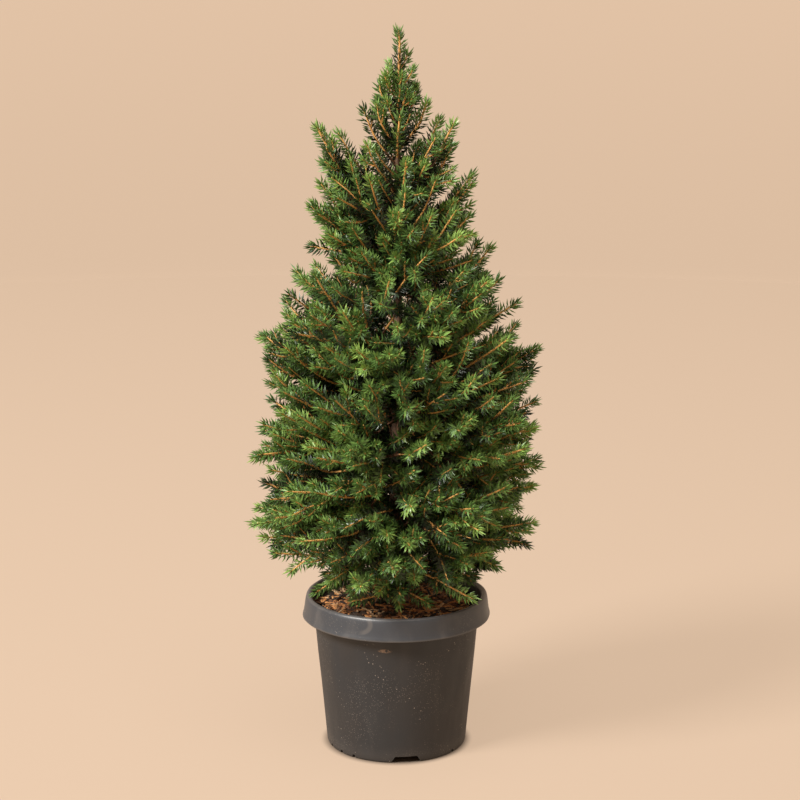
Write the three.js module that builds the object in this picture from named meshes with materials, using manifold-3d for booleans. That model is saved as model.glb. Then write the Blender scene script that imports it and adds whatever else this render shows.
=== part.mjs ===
// A dwarf conical spruce in a nursery pot: pot, compost, trunk, boughs and foliage masses.
// Millimetres, +Z up. The origin is the middle of the pot's underside, on the ground.
// Bearings are degrees about +Z from +X, so 270 is the front of the plant.
import * as THREE from 'three';
import { mergeVertices } from 'three/addons/utils/BufferGeometryUtils.js';
import Module from 'manifold-3d';

const wasm = await Module();
wasm.setup();

const GAP = 0.3;                  // clear space between touching solids
const DEGREE = Math.PI / 180;

// Pot: a thin moulded container with a turned-down collar and a skirt that it stands on.
const POT_HEIGHT = 156;
const WALL = 1.8;
const BASE_RADIUS = 70.6;         // outer radius of the body carried down to the ground
const BODY_TOP_RADIUS = 83;       // outer radius of the body under its shoulder
const BODY_TOP = 131;             // height where the shoulder starts
const SHOULDER_TOP = 136.5;
const SHOULDER_STEP = 2.4;
const MOUTH_RADIUS = 85.5;        // inner radius at the top edge
const COLLAR_TOP_RADIUS = 91.8;
const COLLAR_RADIUS = 95;         // outer radius at the lower lip of the collar
const COLLAR_BOTTOM = 133.6;
const COLLAR_TOP = 152.6;         // where the collar turns over into the top edge
const COLLAR_WALL = 2;
const FLOOR_UNDERSIDE = 7.6;
const FLOOR_TOP = 9.6;
const FOOT_WIDTH = 3.2;           // width of the flat ring the pot stands on
const FOOT_ROUND = 2.4;
const POT_SEGMENTS = 32;

// Drainage: wide notches through the skirt, and round holes through the floor.
const NOTCH_COUNT = 3;
const NOTCH_BEARING = 278;
const NOTCH_TOP_WIDTH = 22;
const NOTCH_BOTTOM_WIDTH = 31;
const NOTCH_HEIGHT = 7;
const HOLE_COUNT = 4;
const HOLE_BEARING = 323;
const HOLE_CIRCLE = 42;
const HOLE_RADIUS = 6;
const HOLE_SIDES = 10;

// Compost: it fills the pot and rises a little towards the trunk.
const COMPOST_EDGE = 144;
const GROUND = 148;               // level flat on which the trunk stands
const GROUND_RADIUS = 20;
const COMPOST_SEGMENTS = 24;

// Trunk: its radius runs from TRUNK_RADIUS to TIP_RADIUS, with a flare at the ground.
const TRUNK_FOOT = GROUND + GAP;
const TRUNK_TIP = 702;
const TRUNK_RADIUS = 9;
const TIP_RADIUS = 1.1;
const FLARE = 5.5;                // added radius at the ground
const FLARE_HEIGHT = 9;
const TRUNK_LEAN = 4;             // sideways drift of the tip
const TRUNK_SWAY = 2.2;
const SWAY_LENGTH = 92;
const TRUNK_SIDES = 10;
const TRUNK_STEPS = 16;

// Boughs: one limb for each mass, thick at the trunk and thin where it goes in.
const BOUGH_RADIUS = 0.42;        // share of the trunk's radius
const BOUGH_TAPER = 0.62;
const BOUGH_SIDES = 6;
const BOUGH_STEPS = 2;
const BOUGH_INSET = 12;           // length trimmed away inside the mass
const BOUGH_SAG = 0.1;            // share of its length that a bough hangs below its chord

// Crown: its radius at every height, widest at one height and drawn in above and below.
const CROWN_RADIUS = 143;
const CROWN_WIDEST = 330;
const CROWN_TOP = 718;
const CROWN_SHARPNESS = 1.35;     // 1 is a cone above the widest height, more is rounder
const CROWN_BOTTOM = 158;         // no foliage hangs lower than this
const UNDERCUT_SPAN = 190;        // how fast the crown draws in below its widest height
const UNDERCUT_SHARPNESS = 5;
const CROWN_SWELL = 1.03;         // most that a mass with a long reach may pass the outline

// Whorls of foliage, the lowest first. Each row of tips is bearing, reach and height.
// A whorl with a bare core is carried on boughs, and one without it wraps the trunk.
const WHORLS = [
  { name: 'skirt', bareCore: 34, depth: 46, tips: [
    [180, 148, 228], [252, 138, 206], [324, 138, 212], [36, 140, 216], [108, 140, 208]] },
  { name: 'lower', bareCore: 32, depth: 46, tips: [
    [0, 146, 288], [72, 148, 268], [144, 146, 262], [216, 147, 256], [288, 147, 266]] },
  { name: 'middle', bareCore: 28, depth: 45, tips: [
    [180, 137, 342], [252, 142, 335], [324, 151, 352], [36, 154, 364], [108, 144, 345]] },
  { name: 'shoulder', bareCore: 23, depth: 44, tips: [
    [0, 143, 408], [90, 138, 412], [180, 137, 420], [270, 138, 408]] },
  { name: 'upper', bareCore: 17, depth: 40, tips: [
    [45, 126, 484], [135, 116, 470], [225, 116, 454], [315, 124, 488]] },
  { name: 'high', bareCore: 11, depth: 34, tips: [
    [0, 81, 580], [90, 76, 560], [184, 80, 574], [272, 76, 552]] },
  { name: 'top', bareCore: 0, depth: 30, tips: [
    [345, 60, 632], [190, 80, 628]] },
];
const SLOPE_BOTTOM = -4;          // rise of the lowest boughs, in degrees
const SLOPE_TOP = 60;             // rise of the topmost ones
const SLOPE_FROM = 190;
const SLOPE_TO = 620;
const MASS_SPREAD = 1.25;         // half width of a mass, as a share of the half space it has
const MASS_SQUARENESS = 3;        // 2 is an ellipsoid, more fills out its corners
const MASS_DETAIL = 2;
const LOBES = 7;                  // tufts that stand out of a mass
const LOBE_HEIGHT = 0.18;
const LOBE_WIDTH = 0.07;
const BODY_SHARE = 0.9;           // size of a mass between its tufts

// Leader: the spire of foliage round the top of the trunk.
const LEADER_MIDDLE = 652;
const LEADER_DEPTH = 62;          // how far it reaches below its middle
const LEADER_WIDTH = 34;

const COLOURS = {
  pot: { color: 0x3d3a38, roughness: 0.72, metalness: 0 },
  compost: { color: 0x5a3a24, roughness: 0.95, metalness: 0 },
  bark: { color: 0x6d4a32, roughness: 0.85, metalness: 0 },
  foliage: { color: 0x3f6232, roughness: 0.8, metalness: 0 },
};

const lerp = THREE.MathUtils.lerp;
const vector = (x, y, z) => new THREE.Vector3(x, y, z);
const radial = (bearing) => vector(Math.cos(bearing * DEGREE), Math.sin(bearing * DEGREE), 0);

// Repeatable random numbers from 0 to 1.
function randomFrom(seed) {
  let state = seed >>> 0;
  return () => {
    state = (state + 0x6d2b79f5) >>> 0;
    let mix = Math.imul(state ^ (state >>> 15), state | 1);
    mix ^= mix + Math.imul(mix ^ (mix >>> 7), mix | 61);
    return ((mix ^ (mix >>> 14)) >>> 0) / 4294967296;
  };
}

// A geometry reduced to shared positions and faces.
function bare(geometry) {
  geometry.deleteAttribute('normal');
  geometry.deleteAttribute('uv');
  return mergeVertices(geometry, 1e-4);
}

function signedVolume(geometry) {
  const { position } = geometry.attributes;
  const corners = [vector(0, 0, 0), vector(0, 0, 0), vector(0, 0, 0)];
  let total = 0;
  for (let i = 0; i < geometry.index.count; i += 3) {
    corners.forEach((corner, k) => corner.fromBufferAttribute(position, geometry.index.getX(i + k)));
    total += corners[0].dot(corners[1].clone().cross(corners[2]));
  }
  return total / 6;
}

// Turns every face round if the faces point inwards.
function facingOut(geometry) {
  if (signedVolume(geometry) > 0) return geometry;
  const faces = geometry.index.array;
  for (let i = 0; i < faces.length; i += 3) {
    [faces[i], faces[i + 1]] = [faces[i + 1], faces[i]];
  }
  return geometry;
}

function toManifold(geometry) {
  const merged = facingOut(bare(geometry));
  return new wasm.Manifold(new wasm.Mesh({
    numProp: 3,
    vertProperties: new Float32Array(merged.attributes.position.array),
    triVerts: new Uint32Array(merged.index.array),
  }));
}

function toGeometry(manifold) {
  const mesh = manifold.getMesh();
  const geometry = new THREE.BufferGeometry();
  geometry.setAttribute('position', new THREE.BufferAttribute(mesh.vertProperties, 3));
  geometry.setIndex(new THREE.BufferAttribute(mesh.triVerts, 1));
  return geometry;
}

function cutAway(geometry, ...tools) {
  const start = toManifold(geometry);
  return toGeometry(tools.reduce((left, tool) => left.subtract(toManifold(tool)), start));
}

function part(name, geometry, finish) {
  const shown = geometry.toNonIndexed();
  shown.computeVertexNormals();
  const mesh = new THREE.Mesh(shown, new THREE.MeshStandardMaterial(COLOURS[finish]));
  mesh.name = name;
  return mesh;
}

// A turned solid from a profile of [radius, height] points that starts and ends on the axis.
function turned(profile, segments) {
  const points = profile.map(([radius, height]) => new THREE.Vector2(radius, height));
  const geometry = new THREE.LatheGeometry(points, segments);
  geometry.rotateX(Math.PI / 2);
  return facingOut(bare(geometry));
}

// A round limb along a curve, closed at both ends, its radius given by a function of 0 to 1.
function limb(curve, radiusAt, sides, steps) {
  const geometry = bare(new THREE.CylinderGeometry(1, 1, 1, sides, steps));
  const frames = curve.computeFrenetFrames(steps);
  const { position } = geometry.attributes;
  for (let i = 0; i < position.count; i += 1) {
    const share = THREE.MathUtils.clamp(position.getY(i) + 0.5, 0, 1);
    const step = Math.round(share * steps);
    const radius = radiusAt(share);
    const place = curve.getPointAt(share);
    place.addScaledVector(frames.normals[step], position.getX(i) * radius);
    place.addScaledVector(frames.binormals[step], position.getZ(i) * radius);
    position.setXYZ(i, place.x, place.y, place.z);
  }
  return facingOut(geometry);
}

// Pot and compost

const bodySlope = (BODY_TOP_RADIUS - BASE_RADIUS) / BODY_TOP;
const bodyRadius = (height) => BASE_RADIUS + bodySlope * height;

function potProfile() {
  const footOut = bodyRadius(0) - FOOT_ROUND / 3;
  const footIn = footOut - FOOT_WIDTH;
  const neck = bodyRadius(SHOULDER_TOP) + SHOULDER_STEP;
  const turn = (MOUTH_RADIUS + COLLAR_TOP_RADIUS) / 2;
  return [
    [0, FLOOR_UNDERSIDE],
    [footIn, FLOOR_UNDERSIDE],
    [footIn, 0],
    [footOut, 0],
    [bodyRadius(FOOT_ROUND), FOOT_ROUND],
    [BODY_TOP_RADIUS, BODY_TOP],
    [neck, SHOULDER_TOP],
    [MOUTH_RADIUS + WALL, COLLAR_TOP],
    [COLLAR_TOP_RADIUS - COLLAR_WALL, COLLAR_TOP - COLLAR_WALL],
    [COLLAR_RADIUS - COLLAR_WALL, COLLAR_BOTTOM],
    [COLLAR_RADIUS, COLLAR_BOTTOM],
    [COLLAR_RADIUS, COLLAR_BOTTOM + COLLAR_WALL],
    [COLLAR_TOP_RADIUS, COLLAR_TOP],
    [lerp(COLLAR_TOP_RADIUS, turn, 0.4), POT_HEIGHT - 0.8],
    [turn, POT_HEIGHT],
    [lerp(MOUTH_RADIUS, turn, 0.3), POT_HEIGHT - 0.8],
    [MOUTH_RADIUS, COLLAR_TOP],
    [neck - WALL, SHOULDER_TOP],
    [BODY_TOP_RADIUS - WALL, BODY_TOP],
    [bodyRadius(FLOOR_TOP) - WALL, FLOOR_TOP],
    [0, FLOOR_TOP],
  ];
}

// A wedge that is wider at the ground, lying across the skirt at one bearing.
function notch(bearing) {
  const below = -1;
  const length = 4 * FOOT_WIDTH;
  const outline = new THREE.Shape([
    new THREE.Vector2(-NOTCH_BOTTOM_WIDTH / 2, below),
    new THREE.Vector2(NOTCH_BOTTOM_WIDTH / 2, below),
    new THREE.Vector2(NOTCH_TOP_WIDTH / 2, NOTCH_HEIGHT),
    new THREE.Vector2(-NOTCH_TOP_WIDTH / 2, NOTCH_HEIGHT),
  ]);
  const wedge = new THREE.ExtrudeGeometry(outline, { depth: length, bevelEnabled: false });
  wedge.rotateX(Math.PI / 2);
  wedge.rotateZ(Math.PI / 2);
  wedge.translate(BASE_RADIUS - length / 2, 0, 0);
  wedge.rotateZ(bearing * DEGREE);
  return wedge;
}

function drainHole(bearing) {
  const hole = new THREE.CylinderGeometry(HOLE_RADIUS, HOLE_RADIUS, 2 * FLOOR_TOP, HOLE_SIDES);
  hole.rotateX(Math.PI / 2);
  hole.translate(HOLE_CIRCLE, 0, FLOOR_TOP);
  hole.rotateZ(bearing * DEGREE);
  return hole;
}

function around(count, first, make) {
  return Array.from({ length: count }, (_, k) => make(first + (360 / count) * k));
}

function potGeometry() {
  return cutAway(
    turned(potProfile(), POT_SEGMENTS),
    ...around(NOTCH_COUNT, NOTCH_BEARING, notch),
    ...around(HOLE_COUNT, HOLE_BEARING, drainHole),
  );
}

function compostGeometry() {
  const inset = WALL + 2 * GAP;   // the pot's flat facets come inside its round radius
  return turned([
    [0, FLOOR_TOP + GAP],
    [bodyRadius(FLOOR_TOP) - inset, FLOOR_TOP + GAP],
    [BODY_TOP_RADIUS - inset, BODY_TOP],
    [bodyRadius(SHOULDER_TOP) + SHOULDER_STEP - inset, SHOULDER_TOP],
    [bodyRadius(COMPOST_EDGE) + SHOULDER_STEP - inset, COMPOST_EDGE],
    [lerp(GROUND_RADIUS, BODY_TOP_RADIUS, 0.5), lerp(GROUND, COMPOST_EDGE, 0.35)],
    [GROUND_RADIUS, GROUND],
    [0, GROUND],
  ], COMPOST_SEGMENTS);
}

// Trunk

// The middle of the trunk at a height.
function trunkAt(height) {
  const share = Math.max(0, (height - TRUNK_FOOT) / (TRUNK_TIP - TRUNK_FOOT));
  const wave = (height - TRUNK_FOOT) / SWAY_LENGTH;
  const x = TRUNK_LEAN * share ** 1.5 + TRUNK_SWAY * share * Math.sin(wave);
  const y = TRUNK_SWAY * share * Math.sin(wave * 0.8 + 1);
  return vector(x, y, height);
}

function trunkRadius(height) {
  const share = THREE.MathUtils.clamp((height - TRUNK_FOOT) / (TRUNK_TIP - TRUNK_FOOT), 0, 1);
  const flare = FLARE * Math.exp(-(height - TRUNK_FOOT) / FLARE_HEIGHT);
  return lerp(TRUNK_RADIUS, TIP_RADIUS, share ** 0.9) + flare;
}

// The trunk, made thicker all over and longer at its tip by a margin.
function trunkGeometry(margin) {
  const top = TRUNK_TIP + margin;
  const heights = Array.from({ length: TRUNK_STEPS + 1 }, (_, k) => {
    const share = (k / TRUNK_STEPS) ** 1.35;
    return lerp(TRUNK_FOOT, top, share);
  });
  const geometry = bare(new THREE.CylinderGeometry(1, 1, 1, TRUNK_SIDES, TRUNK_STEPS));
  const { position } = geometry.attributes;
  for (let i = 0; i < position.count; i += 1) {
    const height = heights[Math.round((position.getY(i) + 0.5) * TRUNK_STEPS)];
    const radius = trunkRadius(height) + margin;
    const middle = trunkAt(height);
    position.setXYZ(
      i,
      middle.x + position.getX(i) * radius,
      middle.y + position.getZ(i) * radius,
      height,
    );
  }
  return facingOut(geometry);
}

// Foliage masses

// The rise of a bough whose tip is at a height, in degrees.
function slopeAt(height) {
  return THREE.MathUtils.mapLinear(
    THREE.MathUtils.clamp(height, SLOPE_FROM, SLOPE_TO),
    SLOPE_FROM, SLOPE_TO, SLOPE_BOTTOM, SLOPE_TOP,
  );
}

// Tufts of one mass: directions in its outer half, each with its own height.
function tuftsAbout(axis, seed) {
  const random = randomFrom(seed * 7919);
  return Array.from({ length: LOBES }, () => {
    const towards = vector(random() - 0.5, random() - 0.5, random() - 0.5).normalize();
    towards.addScaledVector(axis, 0.5).normalize();
    return { towards, height: LOBE_HEIGHT * (0.4 + 0.6 * random()) };
  });
}

// Every mass on a bearing: its root on the trunk, tip, middle, axes, half sizes and tufts.
function planMasses() {
  const masses = [];
  for (const whorl of WHORLS) {
    whorl.tips.forEach(([bearing, reach, height], k) => {
      const tip = radial(bearing).multiplyScalar(reach).setZ(height);
      const rise = reach * Math.tan(slopeAt(height) * DEGREE);
      const root = trunkAt(height - rise);
      const axis = tip.clone().sub(root).normalize();
      const side = vector(0, 0, 1).cross(axis).normalize();
      const length = tip.distanceTo(root);
      const start = (whorl.bareCore / reach) * length;
      const middle = root.clone().addScaledVector(axis, (start + length) / 2);
      const halfSpace = Math.hypot(middle.x, middle.y) * Math.sin(Math.PI / whorl.tips.length);
      masses.push({
        name: `foliage_${whorl.name}_${k + 1}`,
        boughName: whorl.bareCore > 0 ? `bough_${whorl.name}_${k + 1}` : null,
        outward: radial(bearing),
        bareCore: whorl.bareCore,
        root,
        tip,
        middle,
        axis,
        side,
        over: axis.clone().cross(side),
        half: {
          along: (length - start) / 2,
          across: MASS_SPREAD * Math.max(halfSpace, whorl.depth),
          depth: whorl.depth,
        },
        tufts: tuftsAbout(axis, masses.length + 1),
      });
    });
  }
  return masses;
}

// The spire, an upright mass on the trunk itself.
function planLeader() {
  const axis = vector(0, 0, 1);
  return {
    name: 'foliage_leader',
    bareCore: 0,
    middle: trunkAt(LEADER_MIDDLE),
    tip: trunkAt(CROWN_TOP),
    axis,
    side: vector(1, 0, 0),
    over: vector(0, 1, 0),
    half: { along: LEADER_DEPTH, across: LEADER_WIDTH, depth: LEADER_WIDTH },
    tufts: tuftsAbout(axis, 99),
  };
}

function crownRadius(height) {
  const above = Math.max(0, height - CROWN_WIDEST) / (CROWN_TOP - CROWN_WIDEST);
  const below = Math.max(0, CROWN_WIDEST - height) / UNDERCUT_SPAN;
  return CROWN_RADIUS * (1 - above ** CROWN_SHARPNESS - below ** UNDERCUT_SHARPNESS);
}

// Distance from a mass's middle to the crown's outline, in one direction. The outline is
// moved in or out so that it follows the mass's own reach.
function outlineDistance(mass, direction) {
  const reach = Math.hypot(mass.tip.x, mass.tip.y);
  const scale = Math.min(CROWN_SWELL, reach / crownRadius(Math.min(mass.tip.z, CROWN_TOP - 1)));
  let inside = 0;
  let outside = 2 * CROWN_RADIUS;
  for (let step = 0; step < 30; step += 1) {
    const half = (inside + outside) / 2;
    const probe = mass.middle.clone().addScaledVector(direction, half);
    if (Math.hypot(probe.x, probe.y) < scale * crownRadius(probe.z)) inside = half;
    else outside = half;
  }
  return inside;
}

// Distance from a mass's middle to its uneven skin, in one direction.
function skinDistance(mass, direction) {
  const shares = [
    direction.dot(mass.axis) / mass.half.along,
    direction.dot(mass.side) / mass.half.across,
    direction.dot(mass.over) / mass.half.depth,
  ];
  const sum = shares.reduce((total, share) => total + Math.abs(share) ** MASS_SQUARENESS, 0);
  const plain = Math.min(sum ** (-1 / MASS_SQUARENESS), outlineDistance(mass, direction));
  const bump = (towards) => Math.exp((direction.dot(towards) - 1) / LOBE_WIDTH);
  const raised = mass.tufts.reduce((total, tuft) => total + tuft.height * bump(tuft.towards), 0);
  return lerp(plain * (BODY_SHARE + raised), mass.tip.distanceTo(mass.middle), bump(mass.axis));
}

// Planes that hold a mass inside its own cell, each an outward normal and a distance
// from the mass's middle: halfway to each neighbour, off the bare core, above the pot.
function cellPlanes(mass, masses) {
  const planes = [];
  for (const other of masses) {
    if (other === mass) continue;
    const between = other.middle.clone().sub(mass.middle);
    const distance = between.length();
    const weight = mass.half.depth ** 2 - other.half.depth ** 2;
    planes.push({
      normal: between.normalize(),
      distance: (distance ** 2 + weight) / (2 * distance) - GAP,
    });
  }
  planes.push({ normal: vector(0, 0, -1), distance: mass.middle.z - CROWN_BOTTOM });
  if (mass.bareCore > 0) {
    planes.push({
      normal: mass.outward.clone().negate(),
      distance: mass.middle.dot(mass.outward) - mass.bareCore,
    });
  }
  return planes;
}

function withinPlanes(planes, direction, distance) {
  return planes.reduce((shortest, plane) => {
    const facing = direction.dot(plane.normal);
    return facing > 1e-6 ? Math.min(shortest, plane.distance / facing) : shortest;
  }, distance);
}

// A ball whose every corner is moved out to the distance that a function gives for it.
function starSolid(middle, pole, detail, distanceAlong) {
  const geometry = bare(new THREE.IcosahedronGeometry(1, detail));
  const { position } = geometry.attributes;
  const corner = vector(0, 0, 0).fromBufferAttribute(position, 0).normalize();
  const turn = new THREE.Quaternion().setFromUnitVectors(corner, pole);
  for (let i = 0; i < position.count; i += 1) {
    const direction = vector(0, 0, 0).fromBufferAttribute(position, i);
    direction.normalize().applyQuaternion(turn);
    const place = middle.clone().addScaledVector(direction, distanceAlong(direction));
    position.setXYZ(i, place.x, place.y, place.z);
  }
  return facingOut(geometry);
}

function massGeometry(mass, masses) {
  const planes = cellPlanes(mass, masses);
  return starSolid(mass.middle, mass.axis, MASS_DETAIL, (direction) => (
    withinPlanes(planes, direction, skinDistance(mass, direction))
  ));
}

// Boughs

// One limb from inside the trunk to inside its mass, before either is cut away from it.
function boughLimb(mass) {
  const entry = mass.bareCore / Math.hypot(mass.axis.x, mass.axis.y) + BOUGH_INSET;
  const end = mass.root.clone().addScaledVector(mass.axis, entry);
  const bend = mass.root.clone().lerp(end, 0.5);
  bend.z -= BOUGH_SAG * entry;
  const curve = new THREE.QuadraticBezierCurve3(mass.root, bend, end);
  const thick = BOUGH_RADIUS * trunkRadius(mass.root.z);
  const radiusAt = (share) => lerp(thick, thick * BOUGH_TAPER, share);
  return limb(curve, radiusAt, BOUGH_SIDES, BOUGH_STEPS);
}

// A star solid grown by a margin, for cutting what runs into it.
function grown(geometry, middle, margin) {
  const larger = geometry.clone();
  const { position } = larger.attributes;
  for (let i = 0; i < position.count; i += 1) {
    const place = vector(0, 0, 0).fromBufferAttribute(position, i).sub(middle);
    place.setLength(place.length() + margin).add(middle);
    position.setXYZ(i, place.x, place.y, place.z);
  }
  return larger;
}

// The plant

const plant = new THREE.Group();
plant.add(part('pot', potGeometry(), 'pot'));
plant.add(part('compost', compostGeometry(), 'compost'));
plant.add(part('trunk', trunkGeometry(0), 'bark'));

const trunkSpace = trunkGeometry(GAP);
const masses = [...planMasses(), planLeader()];
for (const mass of masses) {
  const whole = massGeometry(mass, masses);
  if (mass.boughName) {
    const skinSpace = grown(whole, mass.middle, 2 * GAP);
    plant.add(part(mass.boughName, cutAway(boughLimb(mass), trunkSpace, skinSpace), 'bark'));
    plant.add(part(mass.name, whole, 'foliage'));
  } else {
    plant.add(part(mass.name, cutAway(whole, trunkSpace), 'foliage'));
  }
}

export default plant;
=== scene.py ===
import math
import random

import bmesh
import bpy
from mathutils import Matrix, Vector, noise
from mathutils.bvhtree import BVHTree


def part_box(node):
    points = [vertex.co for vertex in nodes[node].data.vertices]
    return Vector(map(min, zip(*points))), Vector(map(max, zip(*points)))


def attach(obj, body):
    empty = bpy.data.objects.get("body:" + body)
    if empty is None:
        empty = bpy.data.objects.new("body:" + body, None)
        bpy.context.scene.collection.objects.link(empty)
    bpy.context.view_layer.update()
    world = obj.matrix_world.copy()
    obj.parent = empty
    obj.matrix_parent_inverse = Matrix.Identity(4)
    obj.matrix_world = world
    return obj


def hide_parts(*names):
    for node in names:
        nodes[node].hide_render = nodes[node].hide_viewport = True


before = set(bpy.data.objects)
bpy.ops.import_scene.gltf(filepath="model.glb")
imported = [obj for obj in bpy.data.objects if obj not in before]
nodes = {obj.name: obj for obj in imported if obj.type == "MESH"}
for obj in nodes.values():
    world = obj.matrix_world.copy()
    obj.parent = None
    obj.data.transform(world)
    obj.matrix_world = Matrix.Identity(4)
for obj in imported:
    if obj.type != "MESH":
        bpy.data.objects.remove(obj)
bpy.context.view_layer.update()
scene = bpy.context.scene
up = Vector((0, 0, 1))
goldenAngle = math.pi * (3 - math.sqrt(5))


def mix(low, high, share):
    return low + (high - low) * share


def shareOf(value, low, high):
    # 0 to 1 as the value goes from low to high.
    return min(1, max(0, (value - low) / (high - low)))


def smooth(value, low, high):
    share = shareOf(value, low, high)
    return share * share * (3 - 2 * share)


def link(name, data):
    piece = bpy.data.objects.new(name, data)
    scene.collection.objects.link(piece)
    return piece


class Wire:
    # One output socket of a shader or geometry tree, with its maths as operators.
    def __init__(self, tree, socket=None):
        self.tree = tree
        self.socket = socket

    def make(self, kind, settings=None, sockets=None, output=None):
        node = self.tree.nodes.new(kind)
        for name, value in (settings or {}).items():
            setattr(node, name, value)
        for name, value in (sockets or {}).items():
            self.plug(next(s for s in node.inputs if s.enabled and name in (s.name, s.identifier)), value)
        shown = [s for s in node.outputs if s.enabled and output in (None, s.name)]
        return Wire(self.tree, shown[0] if shown else None)

    def plug(self, socket, value):
        if isinstance(value, Wire):
            self.tree.links.new(value.socket, socket)
        else:
            socket.default_value = value

    def feed(self, socket):
        self.plug(socket, self)

    def out(self, name):
        return Wire(self.tree, self.socket.node.outputs[name])

    def math(self, operation, first, second):
        node = self.tree.nodes.new("ShaderNodeMath")
        node.operation = operation
        for socket, value in zip(node.inputs, (first, second)):
            self.plug(socket, value)
        return Wire(self.tree, node.outputs[0])

    def __add__(self, other):
        return self.math("ADD", self, other)

    def __radd__(self, other):
        return self.math("ADD", other, self)

    def __sub__(self, other):
        return self.math("SUBTRACT", self, other)

    def __rsub__(self, other):
        return self.math("SUBTRACT", other, self)

    def __mul__(self, other):
        return self.math("MULTIPLY", self, other)

    def __rmul__(self, other):
        return self.math("MULTIPLY", other, self)

    def __lt__(self, other):
        return self.math("LESS_THAN", self, other)

    def __gt__(self, other):
        return self.math("GREATER_THAN", self, other)

    def ramp(self, low, high, kind="SMOOTHSTEP"):
        # 0 to 1 as this value goes from low to high.
        return self.make("ShaderNodeMapRange", {"interpolation_type": kind}, {
            "Value": self, "From Min": low, "From Max": high}, output="Result")

    def blend(self, low, high):
        # From one colour to another as this value goes from 0 to 1.
        low, high = (end if isinstance(end, Wire) else (*end, 1) for end in (low, high))
        return self.make("ShaderNodeMix", {"data_type": "RGBA"}, {
            "Factor_Float": self, "A_Color": low, "B_Color": high})

    def cloud(self, scale, detail):
        # Noise at these coordinates.
        return self.make("ShaderNodeTexNoise", sockets={
            "Vector": self, "Scale": scale, "Detail": detail}, output="Fac")

    def painted(self, material, chosen=True):
        return self.make("GeometryNodeSetMaterial", sockets={
            "Geometry": self, "Selection": chosen, "Material": material})

    def shaded(self, smoothly):
        return self.make("GeometryNodeSetShadeSmooth", sockets={"Geometry": self, "Shade Smooth": smoothly})


def newMaterial(name, colour, roughness, **fixed):
    material = bpy.data.materials.new(name)
    material.use_nodes = True
    shader = material.node_tree.nodes["Principled BSDF"]
    shader.inputs["Base Color"].default_value = (*colour, 1)
    shader.inputs["Roughness"].default_value = roughness
    for key, value in fixed.items():
        shader.inputs[key.replace("_", " ")].default_value = value
    return material, Wire(material.node_tree), shader


def addBump(shader, height, strength, distance):
    bump = height.make("ShaderNodeBump", sockets={
        "Strength": strength, "Distance": distance, "Height": height})
    bump.feed(shader.inputs["Normal"])


def shadeSmooth(mesh):
    for face in mesh.polygons:
        face.use_smooth = True


def newTree(name, inputs):
    # A geometry tree with named inputs, its first wire and its input node's sockets by name.
    tree = bpy.data.node_groups.new(name, "GeometryNodeTree")
    tree.interface.new_socket(name="Geometry", in_out="INPUT", socket_type="NodeSocketGeometry")
    tree.interface.new_socket(name="Geometry", in_out="OUTPUT", socket_type="NodeSocketGeometry")
    for label, kind in inputs.items():
        tree.interface.new_socket(name=label, in_out="INPUT", socket_type="NodeSocket" + kind)
    start = Wire(tree)
    entry = start.make("NodeGroupInput")
    return tree, start, {s.name: Wire(tree, s) for s in entry.socket.node.outputs if s.name}


def endTree(start, geometry):
    start.make("NodeGroupOutput", sockets={"Geometry": geometry})


def curveIn(start, given):
    return start.make("GeometryNodeMeshToCurve", sockets={"Mesh": given["Geometry"]})


def fieldOf(start, name):
    # What each point holds under a name.
    return start.make("GeometryNodeInputNamedAttribute", {"data_type": "FLOAT"}, {"Name": name})


def storeField(start, points, name, value):
    return start.make("GeometryNodeStoreNamedAttribute", {"data_type": "FLOAT", "domain": "POINT"}, {
        "Geometry": points, "Name": name, "Value": value})


def diceOf(start, seed):
    # A function that gives each instance a random value, with a number to tell one use from another.
    def chance(low, high, extra):
        return start.make("FunctionNodeRandomValue", {"data_type": "FLOAT"},
                          {"Min": low, "Max": high, "Seed": seed + extra})
    return chance


def runTree(name, source, tree, values):
    # Runs a geometry tree on a piece of source geometry and keeps the result as a plain mesh.
    modifier = source.modifiers.new("grow", "NODES")
    modifier.node_group = tree
    for item in tree.interface.items_tree:
        if item.in_out == "INPUT" and item.name in values:
            modifier[item.identifier] = values[item.name]
    bpy.context.view_layer.update()
    graph = bpy.context.evaluated_depsgraph_get()
    mesh = bpy.data.meshes.new_from_object(source.evaluated_get(graph), depsgraph=graph)
    source.modifiers.remove(modifier)
    mesh.name = name
    piece = link(name, mesh)
    mesh.calc_loop_triangles()
    print(f"  {name}: {len(mesh.loop_triangles)} triangles")
    return piece


def pathMesh(name, runs, fields):
    # Open paths as one mesh of edges, each point holding the named values.
    points, edges = [], []
    values = {field: [] for field in fields}
    for run in runs:
        first = len(points)
        points.extend(run["points"])
        edges.extend((k, k + 1) for k in range(first, len(points) - 1))
        for field in fields:
            values[field].extend(run[field])
    mesh = bpy.data.meshes.new(name)
    mesh.from_pydata([tuple(p) for p in points], edges, [])
    for field in fields:
        attribute = mesh.attributes.new(field, "FLOAT", "POINT")
        attribute.data.foreach_set("value", values[field])
    return link(name, mesh)


def splineThrough(knots, step):
    # A smooth path through the knots, with points about a step apart.
    ends = [knots[0] * 2 - knots[1], *knots, knots[-1] * 2 - knots[-2]]
    path = [knots[0].copy()]
    for k in range(1, len(ends) - 2):
        a, b, c, d = ends[k - 1:k + 3]
        count = max(1, round((c - b).length / step))
        for i in range(1, count + 1):
            t = i / count
            path.append(0.5 * (2 * b + (c - a) * t + (2 * a - 5 * b + 4 * c - d) * t * t
                               + (3 * b - a - 3 * c + d) * t ** 3))
    return path


def lengthsAlong(points):
    total = [0.0]
    for before, after in zip(points, points[1:]):
        total.append(total[-1] + (after - before).length)
    return total


view = {
    "distance": 1.907,
    "height": 0.7488,
    "sideways": 0.0037,
    "pitch": 11.69,
    "lens": 88.3,
    "sensor": 36,
}


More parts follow.
